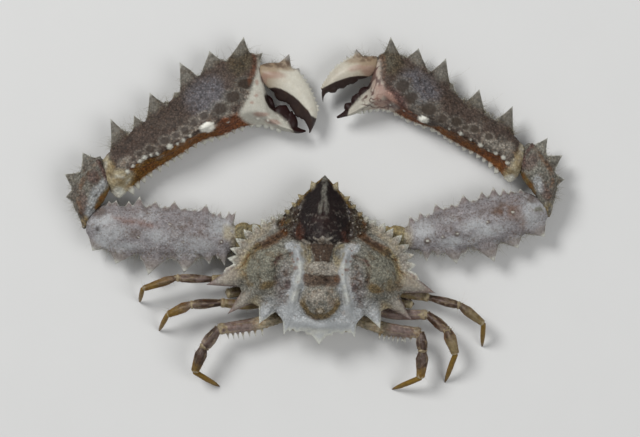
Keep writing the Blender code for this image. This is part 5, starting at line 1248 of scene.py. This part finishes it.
def makeCarapace():
    angle = circle(carapace["around"])
    reach = outlineReach(angle)[None, :]
    s = np.linspace(0.0, 1.0, carapace["topRings"])[:, None]
    fTop = s + 0.10 * np.sin(np.pi * s)
    fFloor = np.linspace(1.0, 0.0, carapace["floorRings"])[:, None]
    xTop, yTop = reach * fTop * np.cos(angle), reach * fTop * np.sin(angle)
    edge, zTop = carapaceHeight(xTop, yTop, np.broadcast_to(fTop, xTop.shape))
    xLow, yLow = reach * fFloor * np.cos(angle), reach * fFloor * np.sin(angle)
    edgeLow = carapaceHeight(xLow, yLow, np.broadcast_to(fFloor, xLow.shape))[0]
    zLow = carapace["floor"] + (edgeLow - 0.35 - carapace["floor"]) * fFloor**6
    own = np.concatenate([np.stack([xTop, yTop, zTop], -1), np.stack([xLow, yLow, zLow], -1)])
    isTop = np.concatenate([np.ones(xTop.shape), np.zeros(xLow.shape)])
    rim = np.concatenate([ease(0.95, 0.99, np.broadcast_to(fTop, xTop.shape)),
                          ease(0.9, 0.97, np.broadcast_to(fFloor, xLow.shape))])
    grid = own.copy()
    points = grid.reshape(-1, 3)
    wx, wy = wander(own, 1.3, 0.32, 84)
    paint, lay = paintCarapace(wx, wy, isTop, own)
    plain = np.zeros(len(points))
    for rootX, rootY, tipX, tipY, tipZ, halfWidth, sharp, colour, edgeColour in carapace["spines"]:
        for side in ((1,) if rootX == 0.0 else (1, -1)):
            line = own[carapace["topRings"] - 1]
            forward = unit(np.array([side * (tipX - rootX), tipY - rootY, 0.0]))
            across = np.array([forward[1], -forward[0], 0.0])
            away = line - np.array([side * rootX, rootY, 0.0])
            lined = np.where(np.abs(away @ across) < 0.3, away @ forward, -1e9)
            start = line[np.argmax(lined)]
            way = np.array([side * tipX, tipY, tipZ]) - start
            length = np.linalg.norm(way)
            away = own.reshape(-1, 3) - start
            d = np.sqrt((away @ across / (halfWidth * 1.1)) ** 2 + (away[:, 2] / 2.2) ** 2
                        + (away @ forward / max(0.9 * length, 0.7)) ** 2)
            w = np.clip(1.0 - d, 0.0, 1.0) ** sharp
            points += w[:, None] * way
            plain = np.maximum(plain, w * (1.0 if halfWidth > 1.2 else 0.35))
            mask = w.reshape(isTop.shape)
            lay(ease(0.03, 0.35, mask), colour, 0.75)
            lay(rim * ease(0.04, 0.16, mask), edgeColour, 0.85)
            lay(ease(0.7, 0.95, mask), edgeColour, 0.7)
    plain = plain.reshape(isTop.shape)
    x, y = own[..., 0], own[..., 1]
    normals = normalsOf(grid)
    if normals[1, :, 2].mean() < 0.0:
        normals = -normals
    both = [(side * bx, by, r, h) for bx, by, r, h in carapace["beads"] for side in ((1, -1) if bx else (1,))]
    beads = raiseBumps(grid, normals, both)
    ridgeLine = [(5.0, 3.9), (4.4, 0.6), (4.6, -3.0), (5.6, -6.0), (6.0, -8.8)]
    ridge = ease(1.7, 0.6, lineDistance(np.abs(x), y, ridgeLine))
    smooth = np.maximum.reduce([ease(-9.2, -11.0, y) * ease(9.0, 7.6, np.abs(x)) * 0.92, ridge * 0.85,
                                patch(x, y, 0.0, 11.5, 4.6, 6.0) * 0.4])
    calm = np.maximum(ease(0.05, 0.4, plain) * 0.55, smooth)
    rough = isTop * (1.0 - calm)
    granule = grainsOn(grid, 0.62, 81)
    lobes = patch(np.abs(x), y, 11.4, 1.2, 5.0, 4.6)
    grid += ((0.09 * granule + 0.12 * grainsOn(grid, 1.15, 82) * lobes) * rough)[..., None] * normals
    grid += (0.12 * isTop * cloudOn(grid, 1.6, 83) * (1.0 - smooth))[..., None] * normals
    lay(ease(0.25, 0.6, beads), "shellPale", 0.7)
    paint *= (0.92 + 0.20 * granule * rough)[..., None]
    grid[..., 0], grid[..., 1] = turned(grid[..., 0], grid[..., 1])
    calm = np.maximum(calm, 0.45 * ease(0.1, 0.35, paint.mean(axis=-1)))
    piece = closedShell("carapace_shell", grid, paint, calm)
    margin = (rim * ease(1.5, 3.0, y) * ease(15.5, 13.0, y)
              + 0.25 * isTop * patch(np.abs(x), y, 7.4, 9.6, 2.2, 2.0))
    hairs["carapace"] = (grid, normalsOf(grid), margin, 420, 1.2, "olive")
    dress(piece, bodyShell, ["carapace"], "shell")


makeCarapace()
print("carapace ready")


# Walking legs. Points run from the belly to the tip, and widths are merus, carpus, propodus, dactylus.
legs = {
    "left": {
        1: [
            [(-9.9, 3.2, 2.6), (-16.0, 1.6, 3.4), (-22.0, 1.1, 4.4)], (-29.1, 1.4, 5.6), (-35.8, -0.8, 5.0),
            (-36.6, -3.6, 0.0), (1.8, 1.6, 1.5, 1.0),
        ],
        2: [
            [(-9.5, 0.1, 2.9), (-14.5, -1.0, 3.1), (-19.0, -1.8, 3.9)], (-14.4, 0.2, 1.2), (-11.6, 2.6, 1.2),
            (-9.6, 5.0, 0.0), (2.2, 1.4, 1.3, 0.8),
        ],
        3: [
            [(-8.7, -2.9, 2.6), (-14.5, -4.0, 3.6), (-20.2, -3.6, 4.4)], (-26.3, -4.0, 5.6),
            (-30.8, -6.0, 4.8), (-32.7, -9.4, 0.0), (2.0, 1.8, 1.8, 1.1),
        ],
        4: [
            [(-7.1, -6.2, 2.9), (-13.0, -7.8, 4.4), (-20.7, -8.9, 5.6)], (-23.6, -12.7, 5.8),
            (-25.4, -17.5, 4.2), (-20.5, -20.6, 0.0), (2.5, 2.2, 2.1, 1.2),
        ],
    },
    "right": {
        1: [
            [(10.0, 2.4, 2.9), (15.0, -1.2, 3.8), (21.8, -2.6, 4.4)], (28.0, -4.2, 5.6), (32.6, -7.8, 4.8),
            (32.5, -12.6, 0.0), (1.9, 1.6, 1.7, 1.1),
        ],
        2: [
            [(9.4, -0.8, 2.3), (14.0, -3.2, 2.6), (18.4, -4.1, 3.4)], (15.0, -0.4, 1.2), (12.2, 1.4, 1.2),
            (10.0, 4.0, 0.0), (1.7, 1.3, 1.2, 0.8),
        ],
        3: [
            [(8.6, -3.8, 2.9), (14.0, -5.8, 4.0), (21.4, -6.0, 4.6)], (25.4, -9.2, 5.6), (27.0, -13.9, 4.6),
            (25.0, -19.8, 0.0), (2.2, 1.9, 2.1, 1.2),
        ],
        4: [
            [(7.0, -6.9, 2.9), (13.0, -8.8, 4.4), (20.0, -9.7, 5.6)], (20.4, -13.4, 5.6), (20.0, -18.7, 4.0),
            (14.3, -21.2, 0.0), (2.5, 2.0, 2.1, 1.2),
        ],
    },
}
legPieces = ("merus", "carpus", "propodus", "dactylus")
legForm = {  # the pair folded under the body and how far it hangs, and how far each piece enters the last
    "foldedPair": 2, "foldDrop": 2.4, "socket": 0.18, "carpusBow": 0.03, "bow": 0.06,
    "merusMesh": (60, 150), "mesh": (60, 96), "hairs": (40, 0.8),
}
legTeeth = {
    "left": [
        (-11.6, -9.7), (-13.0, -9.9), (-14.2, -9.9), (-15.4, -10.5), (-16.4, -10.2), (-17.4, -10.3),
        (-18.4, -10.3),
    ],
    "right": [
        (11.6, -10.4), (12.5, -10.6), (13.4, -10.6), (14.3, -10.9), (15.2, -11.2), (16.1, -11.0),
        (17.0, -11.0), (17.9, -10.9),
    ],
}


def tubeGrid(points, shape, half, mesh, squash=0.92, blunt=0.10):
    # Rings at right angles to a smooth path; a ring is (side cos + up sin x squash) x radius(share).
    # The shape gives places along the path and the thickness there as a share of half the width.
    (places, thickness), (around, along) = shape, mesh
    share = packed(along, 0.6)
    path = catmull(points, share * (len(points) - 1))
    forward = unit(np.gradient(path, axis=0))
    side = unit(np.cross(forward, [0.0, 0.0, 1.0]))
    up = np.cross(side, forward)
    turn = circle(around)
    radius = np.interp(share, places, np.array(thickness) * half)
    cap = rounded(share, blunt)
    ring = side[:, None] * np.cos(turn)[None, :, None] + up[:, None] * (np.sin(turn) * squash)[None, :, None]
    grid = path[:, None] + ring * (radius * cap)[:, None, None]
    grid[..., 2] = np.maximum(grid[..., 2], 0.0)
    return grid, np.broadcast_to(share[:, None], grid.shape[:2]), np.broadcast_to(turn[None], grid.shape[:2])


def legPath(side, number, index):
    # Points along one leg piece, from its near joint to its far one
    upper, knee, ankle, tip, widths = legs[side][number]
    if index == 0:
        return [np.array(p, float) for p in upper]
    stops = np.array([upper[-1], knee, ankle, tip], float)
    if number == legForm["foldedPair"]:
        stops[0, 2] -= legForm["foldDrop"]
    first, last = stops[index - 1], stops[index]
    first = first + unit(first - last) * widths[index] * legForm["socket"]
    bow = legForm["carpusBow"] if index == 1 else legForm["bow"]
    bulge = np.array([0.0, 0.0, bow * np.linalg.norm(last - first)])
    return [first, (first + last) / 2.0 + bulge, last]


legShapes = {  # places along each piece, and its thickness there as a share of its own width
    "merus": ([0, 0.03, 0.1, 0.5, 0.82, 0.87, 0.93, 1], [0.80, 0.96, 1.0, 1.02, 0.98, 0.94, 1.12, 1.02]),
    "carpus": ([0, 0.06, 0.13, 0.55, 0.80, 0.85, 0.92, 1], [0.66, 0.96, 0.84, 1.16, 1.10, 0.94, 1.14, 0.96]),
    "propodus": ([0, 0.05, 0.12, 0.34, 0.8, 0.92, 1], [0.62, 0.98, 0.86, 1.22, 0.90, 0.92, 0.76]),
    "dactylus": ([0, 0.06, 0.2, 0.5, 0.75, 0.9, 1], [0.80, 1.04, 0.96, 0.92, 0.72, 0.44, 0.14]),
}


def makeLegPiece(side, number, index):
    piece, half = legPieces[index], legs[side][number][4][index] / 2.0
    grid, share, turn = tubeGrid(legPath(side, number, index), legShapes[piece], half,
                                 legForm["merusMesh" if piece == "merus" else "mesh"])
    normals = normalsOf(grid)
    top, flank = np.sin(turn), np.abs(np.cos(turn))
    crest = ease(0.35, 0.0, flank) * ease(0.0, 0.5, top) * ease(0.04, 0.2, share) * ease(0.97, 0.8, share)
    groove = ease(0.22, 0.05, np.abs(flank - 0.62)) * ease(0.0, 0.4, top)
    relief = 0.10 * crest - 0.06 * groove * ease(0.1, 0.3, share) * ease(0.95, 0.8, share)
    grid += (relief * half)[..., None] * normals
    pull, granular = np.zeros(share.shape), np.zeros(share.shape)
    if piece == "merus" and number == 4:
        teeth = [(x, y + 1.1, x + 0.05 * np.sign(x), y - 0.75, 0.24) for x, y in legTeeth[side]]
        pull = raiseSpines(grid, teeth, 4.6, 0.6, 1.0, 0.9, -0.3)
        granular = ease(0.62, 0.45, share)
        roughSurface(grid, normals, (0.10, 0.7), 98, granular)
    roughSurface(grid, normals, (0.05, 0.9), 91 + number, kind=cloudOn)
    blotch, fine = cloudOn(grid, 1.3, 95 + number), cloudOn(grid, 0.5, 99 + number, 2)
    drawn = np.stack([share * 4.0 + index, 1.7 * np.cos(turn) + 9.0 * number, 1.7 * np.sin(turn)], axis=-1)
    streak = cloudOn(drawn, 0.8, 97)  # noise drawn out along the leg
    # The two sides of the piece; on propodus and dactylus the tawny laid on them is a painted highlight
    edge = ease(0.72, 0.95, flank)
    paint, lay = firstCoat(grid, "legMauve")
    if piece == "merus":
        paint += 0.72 * (rgb("straw" if number < 3 or (number, side) == (3, "left") else "legPink") - paint)
    lay(ease(0.0, 0.5, blotch), "legPink", 0.6)
    lay(ease(-0.1, 0.5, -blotch) * (0.2 if piece == "merus" else 1.0), "umber", 0.65)
    lay(ease(0.25, 0.55, fine) * ease(-0.3, 0.3, blotch), "shellPale", 0.4)
    lay(edge * ease(-0.3, 0.4, fine), "knuckle", 0.45)
    lay(ease(0.2, 0.6, streak), "knuckle", 0.45)
    lay(ease(0.25, 0.6, -streak), "legRed", 0.45)
    lay(crest, "legPink", 0.4)
    lay(ease(-0.1, -0.7, top) * 0.6, "legRed", 0.6)
    if piece == "carpus":
        lay(ease(0.2, 0.7, top) * ease(-0.5, 0.3, -streak), "umber", 0.45 if number > 1 else 0.15)
    if piece == "propodus":
        lay(ease(0.0 if number < 4 else 0.55, 0.75, share + 0.25 * blotch),
            "straw" if side == "right" and number < 4 else "gold", 0.75)
        lay(ease(0.0, 0.5, -streak) * ease(0.3, 0.8, share), "ochre", 0.7)
        # Painted highlight: the propodus's sides are laid tawny, as light shining orange through the thin
        # shell at its edges
        lay(edge * (0.8 if number < 4 else 0.4), "tawny", 0.6)
        lay(ease(0.72, 0.4, share + 0.2 * blotch) * ease(-0.2, 0.5, top - streak), "umber",
            0.5 if number == 4 else 0.1)
    if piece == "dactylus":
        paint += 0.92 * (rgb("gold") - paint)
        lay(ease(0.0, 0.6, streak), "ochre", 0.6)
        # Painted highlight: the dactylus's sides are laid tawny, as light shining through the thin shell
        lay(edge, "tawny", 0.35)
        lay(ease(0.74, 0.98, share), "amber", 0.85)
    else:
        far = ease(0.84, 0.91, share + 0.10 * fine)
        lay(far * ease(-0.9, 0.1, blotch), "knuckle", 0.9)
        lay(far * ease(0.2, 0.5, -fine), "legBrown", 0.6)
        lay(ease(0.11, 0.05, share + 0.06 * fine), "knuckle", 0.5)
    if number == legForm["foldedPair"]:
        lay(ease(0.80, 0.90, share + 0.1 * fine) * (piece == "merus"), "cream", 0.8)
    lay(granular, "cream", 0.6)
    lay(granular * ease(-0.2, 0.5, blotch), "moss", 0.75)
    lay(granular * ease(0.1, 0.5, -fine), "straw", 0.6)
    lay(ease(0.15, 0.45, pull), "bone", 0.9)
    calm = np.maximum(0.6 if piece == "dactylus" else 0.2, ease(0.2, 0.5, pull)) * (1.0 - granular)
    name = f"{side}_leg_{number}_{piece}"
    made = closedShell(f"{name}_shell", grid, paint, calm)
    if piece in ("merus", "propodus"):
        hairs[name] = (grid, normals, ease(0.2, -0.4, top) + 0.1, *legForm["hairs"], "straw")
    dress(made, legShell, [name], "amber_tip" if piece == "dactylus" else "leg_shell")


for side in legs:
    for number in legs[side]:
        for index in range(len(legPieces)):
            makeLegPiece(side, number, index)
print("legs ready")


# Underside
sternum = {
    "widths": [(8.4, 5.6), (4.0, 8.2), (0.0, 8.4), (-4.0, 7.6), (-7.3, 6.0), (-10.2, 3.4)], "top": 4.2,
    "bottom": 0.9, "seams": [5.6, 2.4, -1.2, -4.2, -7.0, -9.4], "seamDepth": 0.28, "tailHollow": 0.2,
    "mesh": (120, 150),
}
legRoots = {1: (8.3, 0.9), 2: (7.8, -2.6), 3: (6.9, -5.6), 4: (5.4, -8.4)}  # where each starts, x and y
legRootMesh = (40, 60)
legRootShape = ([0, 0.1, 0.34, 0.5, 0.58, 0.74, 0.92, 1], [1.0, 1.30, 1.40, 1.15, 0.96, 1.10, 1.0, 0.8])
abdomen = {
    "outline": [(-10.1, 2.2), (-9.2, 3.3), (-6.0, 3.1), (-1.5, 2.3), (2.4, 1.4), (4.1, 0.7)],
    "thickness": 0.62, "seams": [-9.0, -7.2, -5.2, -3.0, -0.6, 1.8], "mesh": (96, 160),
}
mouthPlate = {
    "x": 2.0, "y": 11.0, "z": 3.4, "halfWidth": 1.6, "halfLength": 2.3, "halfDepth": 0.55, "lean": 12.0,
    "mesh": (64, 60),
}
eyes = {
    "x": 4.9, "y": 13.3, "z": 5.5, "radius": 0.8, "stalk": 1.3, "mesh": (48, 64),
    "shape": ([0, 0.1, 0.25, 0.42, 0.55, 0.8, 1], [0.7, 0.95, 1.0, 0.8, 0.55, 0.55, 0.6]),
}


def slabGrid(rows, mesh, crowd, corner, blunt, low, high, fill):
    # A slab along Y. With q = max(|cos u|, |sin u|)^-corner, which squares its sections, x is the
    # half width x cos u x q, and z is the middle + half the depth x sin u x q x fill, cut at low and
    # high. Both shrink towards the ends.
    around, along = mesh
    share = packed(along, crowd)
    row = catmull(rows, share * (len(rows) - 1))
    across, level = np.cos(circle(around))[None, :], np.sin(circle(around))[None, :]
    square = np.maximum(np.abs(across), np.abs(level)) ** -corner
    size = rounded(share, blunt)[:, None]
    x = across * square * row[:, 1:2] * size
    z = np.clip((low + high) / 2.0 + level * square * size * ((high - low) / 2.0) * fill, low, high)
    return x, np.broadcast_to(row[:, 0:1], x.shape), z, level


def makeSternum():
    # An egg in plan with a squared section; seams run outwards and backwards from the middle
    low, high = sternum["bottom"], sternum["top"]
    x, y, z, _ = slabGrid(sternum["widths"], sternum["mesh"], 0.9, 0.6, 0.3, low, high, 1.15)
    below = ease((low + high) / 2.0, low + 0.4, z)
    slant = y + 0.22 * np.abs(x)
    seam = np.maximum.reduce([ease(0.35, 0.0, np.abs(slant - place)) for place in sternum["seams"]])
    seam = seam * ease(1.6, 3.4, np.abs(x)) * below
    hollow = ease(4.2, 3.2, np.abs(x) + 0.25 * np.maximum(y + 4.0, 0.0)) * ease(5.6, 4.4, y) * below
    grid = np.stack([x, y, z + sternum["seamDepth"] * seam + sternum["tailHollow"] * hollow], axis=-1)
    roughSurface(grid, normalsOf(grid), (0.05, 0.8), 111, below * (1.0 - hollow))
    paint, lay = firstCoat(grid, "cream")
    lay(ease(-0.1, 0.6, cloudOn(grid, 2.4, 112)), "shellPale", 0.6)
    lay(ease(0.0, 0.7, cloudOn(grid, 1.2, 113)) * below, "blush", 0.35)
    lay(seam, "legBrown", 0.7)
    lay(ease(0.5, 1.0, np.abs(x) / 8.4) * below, "straw", 0.4)
    piece = closedShell("sternum_shell", grid, paint, 0.3)
    dress(piece, bellyShell, ["sternum"], "belly_shell")


def makeLegRoot(side, number):
    # Two swollen short pieces, from the belly's edge to the leg's near joint, with a waist between
    x, y = legRoots[number]
    sign = -1.0 if side == "left" else 1.0
    hip = np.array(legs[side][number][0][0], float)
    inner = np.array([sign * (x - 1.6), y, 2.5])
    path = [inner, (inner + hip) / 2.0, hip + (hip - inner) * 0.12]
    grid, share, turn = tubeGrid(path, legRootShape, legs[side][number][4][0] / 2.0, legRootMesh)
    roughSurface(grid, normalsOf(grid), (0.06, 0.8), 115, kind=cloudOn)
    paint, lay = firstCoat(grid, "cream")
    lay(ease(-0.1, 0.6, cloudOn(grid, 1.2, 116)), "legPink", 0.6)
    lay(ease(0.08, 0.0, np.abs(share - 0.58)), "legBrown", 0.7)
    lay(ease(-0.1, 0.7, np.sin(turn)), "moss", 0.5)
    piece = closedShell(f"{side}_leg_{number}_root", grid, paint, 0.3)
    dress(piece, bellyShell, ["sternum"], "belly_shell")


def makeAbdomen():
    # A tongue drawn along its length, flat below, gently domed across, with a step at each seam
    thickness = abdomen["thickness"]
    x, y, z, level = slabGrid(abdomen["outline"], abdomen["mesh"], 0.7, 0.55, 0.25, 0.0, thickness, 1.25)
    bent = y + 0.05 * x**2
    seam = np.maximum.reduce([ease(0.28, 0.02, np.abs(bent - place)) for place in abdomen["seams"]])
    z = np.where(level < 0.0, z + 0.16 * seam + 0.05 * (x / 3.2) ** 2, z)
    keel = ease(0.9, 0.2, np.abs(x)) * (level < 0.0)
    grid = np.stack([x, y, np.maximum(z - 0.03 * keel, 0.0)], axis=-1)
    paint, lay = firstCoat(grid, "cream")
    lay(ease(-0.1, 0.6, cloudOn(grid, 1.6, 121)), "blush", 0.4)
    lay(ease(0.1, 0.7, cloudOn(grid, 2.6, 122)), "shellPale", 0.6)
    lay(seam, "legBrown", 0.65)
    piece = closedShell("abdomen_shell", grid, paint, 0.4)
    dress(piece, bellyShell, ["abdomen"], "belly_shell")


def makeMouthPlate(side, sign):
    # A rounded slab: (|a|^n + |b|^n + |c|^n) = 1 with n = 4, a groove down it and a notch at its front
    around, along = mouthPlate["mesh"]
    s, turn = np.linspace(0.0, 1.0, along + 1)[:, None] * np.pi, circle(around)[None, :]
    axes = np.broadcast_arrays(np.sin(s) * np.cos(turn), np.cos(s), np.sin(s) * np.sin(turn))
    way = np.stack(axes, axis=-1)
    way = way / (np.sum(np.abs(way) ** 4.0, axis=-1, keepdims=True) ** 0.25)
    a, b, c = way[..., 0], way[..., 1], way[..., 2]
    below = ease(0.0, -0.6, c)
    groove = ease(0.25, 0.0, np.abs(a + 0.25)) * below + ease(0.15, 0.0, np.abs(b - 0.35)) * below
    c = c * (1.0 - 0.22 * (a * a + 0.5 * b * b)) + 0.25 * groove
    x = a * mouthPlate["halfWidth"] * (1.0 - 0.12 * b)
    y, z = b * mouthPlate["halfLength"], c * mouthPlate["halfDepth"]
    lean = math.radians(sign * mouthPlate["lean"])
    grid = np.stack([sign * mouthPlate["x"] + x * math.cos(lean) + z * math.sin(lean), mouthPlate["y"] + y,
                     mouthPlate["z"] - x * math.sin(lean) + z * math.cos(lean)], axis=-1)
    paint, lay = firstCoat(grid, "cream")
    lay(ease(-0.1, 0.6, cloudOn(grid, 1.0, 124)), "blush", 0.5)
    lay(groove, "legBrown", 0.7)
    piece = closedShell(f"mouth_plate_{side}_shell", grid, paint, 0.4)
    dress(piece, bellyShell, [f"mouth_plate_{side}"], "belly_shell")


def makeEye(side, sign):
    # A glossy ball on a short stalk that points to the middle: radius falls from the ball to the stalk
    ball = np.array([sign * eyes["x"], eyes["y"], eyes["z"]])
    root = ball + np.array([-sign * 0.85, -0.85, -0.15]) * eyes["stalk"]
    path = [ball + (ball - root) * 0.36, ball, (ball + root) / 2.0, root]
    grid, share, _ = tubeGrid(path, eyes["shape"], eyes["radius"], eyes["mesh"], 1.0, 0.45)
    paint, lay = firstCoat(grid, "horn")
    lay(ease(0.46, 0.56, share), "ochre", 0.8)
    piece = closedShell(f"eye_{side}_shell", grid, paint, 0.2)
    dress(piece, eyeShell, [f"eye_{side}"], "eye")


makeSternum()
makeAbdomen()
for side, sign in (("left", -1.0), ("right", 1.0)):
    makeMouthPlate(side, sign)
    makeEye(side, sign)
    for number in legRoots:
        makeLegRoot(side, number)
print("underside ready")


# Loose hairs, which stand on the shells made above
fuzz = {
    "radius": 0.024, "sway": 0.7, "lean": 0.3, "curl": 0.16, "twist": 7.0, "steps": 7, "sides": 3, "seed": 7,
    "colours": {"olive": (112, 104, 76), "straw": (134, 124, 92)},
}


def fuzzLook():
    material, shader, start = newMaterial("hair_look")
    paint = start.make("ShaderNodeAttribute", {"attribute_name": "paint"}, output="Color")
    tone = start.make("ShaderNodeTexCoord", output="Object").noise(900.0, 2.0)
    paint.scaled(0.7 + tone * 0.6).feed(shader, "Base Color")
    shader.inputs["Roughness"].default_value = 0.55
    return material


def makeFuzz(name, material, slot):
    # Strand = root + normal x length x t + a fixed random sway x length x t^2 + curl x length x t x
    # (cos, sin)(a + 7 t) across it, three sides, tapering
    grid, normals, weight, count, length, colour = hairs[name]
    points, aim = grid[1:-1].reshape(-1, 3), normals[1:-1].reshape(-1, 3)
    chance = np.clip(weight[1:-1].ravel(), 0.0, None) * (points[:, 2] > 0.6) + 1e-9
    pick = np.random.default_rng([fuzz["seed"], *name.encode()])
    chosen = pick.choice(len(points), size=count, p=chance / chance.sum())
    clump = cloud(points[chosen], 1.6, 131)
    long = length * (0.45 + 0.9 * pick.random(count)) * (1.0 + 0.5 * clump)
    sway = pick.normal(0.0, fuzz["sway"], (count, 3))
    lean = unit(aim[chosen] + pick.normal(0.0, fuzz["lean"], (count, 3)))
    steps, sides = fuzz["steps"], fuzz["sides"]
    t = np.linspace(0.0, 1.0, steps)[None, :, None]
    middle = points[chosen][:, None] - aim[chosen][:, None] * 0.05
    side = unit(np.cross(lean, [0.3, 0.2, 1.0]))
    up = np.cross(side, lean)
    phase = pick.uniform(0.0, 2.0 * np.pi, (count, 1, 1)) + fuzz["twist"] * t
    curl = fuzz["curl"] * t * (side[:, None] * np.cos(phase) + up[:, None] * np.sin(phase))
    middle = middle + (lean[:, None] * t + sway[:, None] * t**2 + curl) * long[:, None, None]
    turn = circle(sides)[:, None]
    ring = side[:, None, None] * np.cos(turn) + up[:, None, None] * np.sin(turn)
    strand = middle[:, :, None] + ring * (fuzz["radius"] * (1.0 - 0.85 * t))[..., None]
    vertices = strand.reshape(-1, 3)
    vertices[:, 2] = np.maximum(vertices[:, 2], 0.02)
    starts = np.arange(count) * steps * sides
    rings = starts[:, None, None] + (np.arange(steps - 1) * sides)[:, None]
    low, nxt = rings + np.arange(sides), rings + (np.arange(sides) + 1) % sides
    faces = np.stack([low, nxt, nxt + sides, low + sides], axis=-1).reshape(-1, 4).tolist()
    ends = starts[:, None] + np.arange(sides)
    faces += ends[:, ::-1].tolist() + (ends + (steps - 1) * sides).tolist()
    c = np.array(fuzz["colours"][colour], float) / 255.0
    paint = np.repeat((c**2.2)[None] * (0.6 + 0.8 * pick.random((count, 1))), steps * sides, axis=0)
    piece = writeMesh(f"{name}_hairs", vertices, faces, paint)
    piece.data.materials.append(material)
    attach(piece, "root")


hairLook = fuzzLook()
for name in hairs:
    makeFuzz(name, hairLook, "claw_shell" if "leg" not in name else "leg_shell")
print("hairs ready")


# Floor, light and camera
view = {"x": -0.2, "y": 13.3, "plane": 8.0, "width": 128.0, "lens": 240.0, "sensor": 36.0}
studio = {
    "floor": (0.60, 0.60, 0.59), "floorSize": 3000.0, "floorDrop": 0.05,
    "sky": (0.97, 0.98, 1.0, 1.0), "skyStrength": 0.31,
    "lights": {  # place and size in metres, power
        "key": ((-0.50, 0.50, 0.75), 0.4, 7.9), "fill": ((0.6, -0.2, 0.75), 0.7, 3.9),
    },
}


def makeFloor():
    corners = np.array([(-1.0, -1.0), (1.0, -1.0), (1.0, 1.0), (-1.0, 1.0)]) * studio["floorSize"]
    floor = writeMesh("floor", np.column_stack([corners, np.full(4, -studio["floorDrop"])]), [(0, 1, 2, 3)])
    material, shader, start = newMaterial("pale_floor")
    grain = start.make("ShaderNodeTexCoord", output="Object").noise(90.0, 5.0)
    tone = start.make("ShaderNodeVectorMath", {"operation": "SCALE"},
                      {0: studio["floor"], "Scale": 0.985 + grain * 0.03})
    tone.feed(shader, "Base Color")
    shader.inputs["Roughness"].default_value = 0.9
    floor.data.materials.append(material)


def makeLight(name, place, size, power):
    # A round soft light that looks at the crab's middle
    data = bpy.data.lights.new(name, "AREA")
    data.shape, data.size, data.energy = "DISK", size, power
    lamp = bpy.data.objects.new(name, data)
    bpy.context.scene.collection.objects.link(lamp)
    lamp.location = place
    way = np.array([0.0, view["y"] * mm, 0.0]) - np.array(place)
    lamp.rotation_euler = (math.atan2(math.hypot(way[0], way[1]), -way[2]), 0.0, math.atan2(-way[0], way[1]))


def makeStudio():
    makeFloor()
    for name, (place, size, power) in studio["lights"].items():
        makeLight(name, place, size, power)
    world = bpy.data.worlds.new("studio")
    bpy.context.scene.world = world
    world.use_nodes = True
    sky = world.node_tree.nodes["Background"]
    sky.inputs["Color"].default_value = studio["sky"]
    sky.inputs["Strength"].default_value = studio["skyStrength"]
    camera = bpy.data.cameras.new("camera")
    camera.lens, camera.sensor_width = view["lens"], view["sensor"]
    camera.clip_start, camera.clip_end = 0.01, 10.0
    holder = bpy.data.objects.new("camera", camera)
    bpy.context.scene.collection.objects.link(holder)
    distance = view["width"] * view["lens"] / view["sensor"]
    holder.location = (view["x"] * mm, view["y"] * mm, (view["plane"] + distance) * mm)
    bpy.context.scene.camera = holder
    bpy.context.scene.view_settings.view_transform = "Standard"


makeStudio()
print("studio ready")
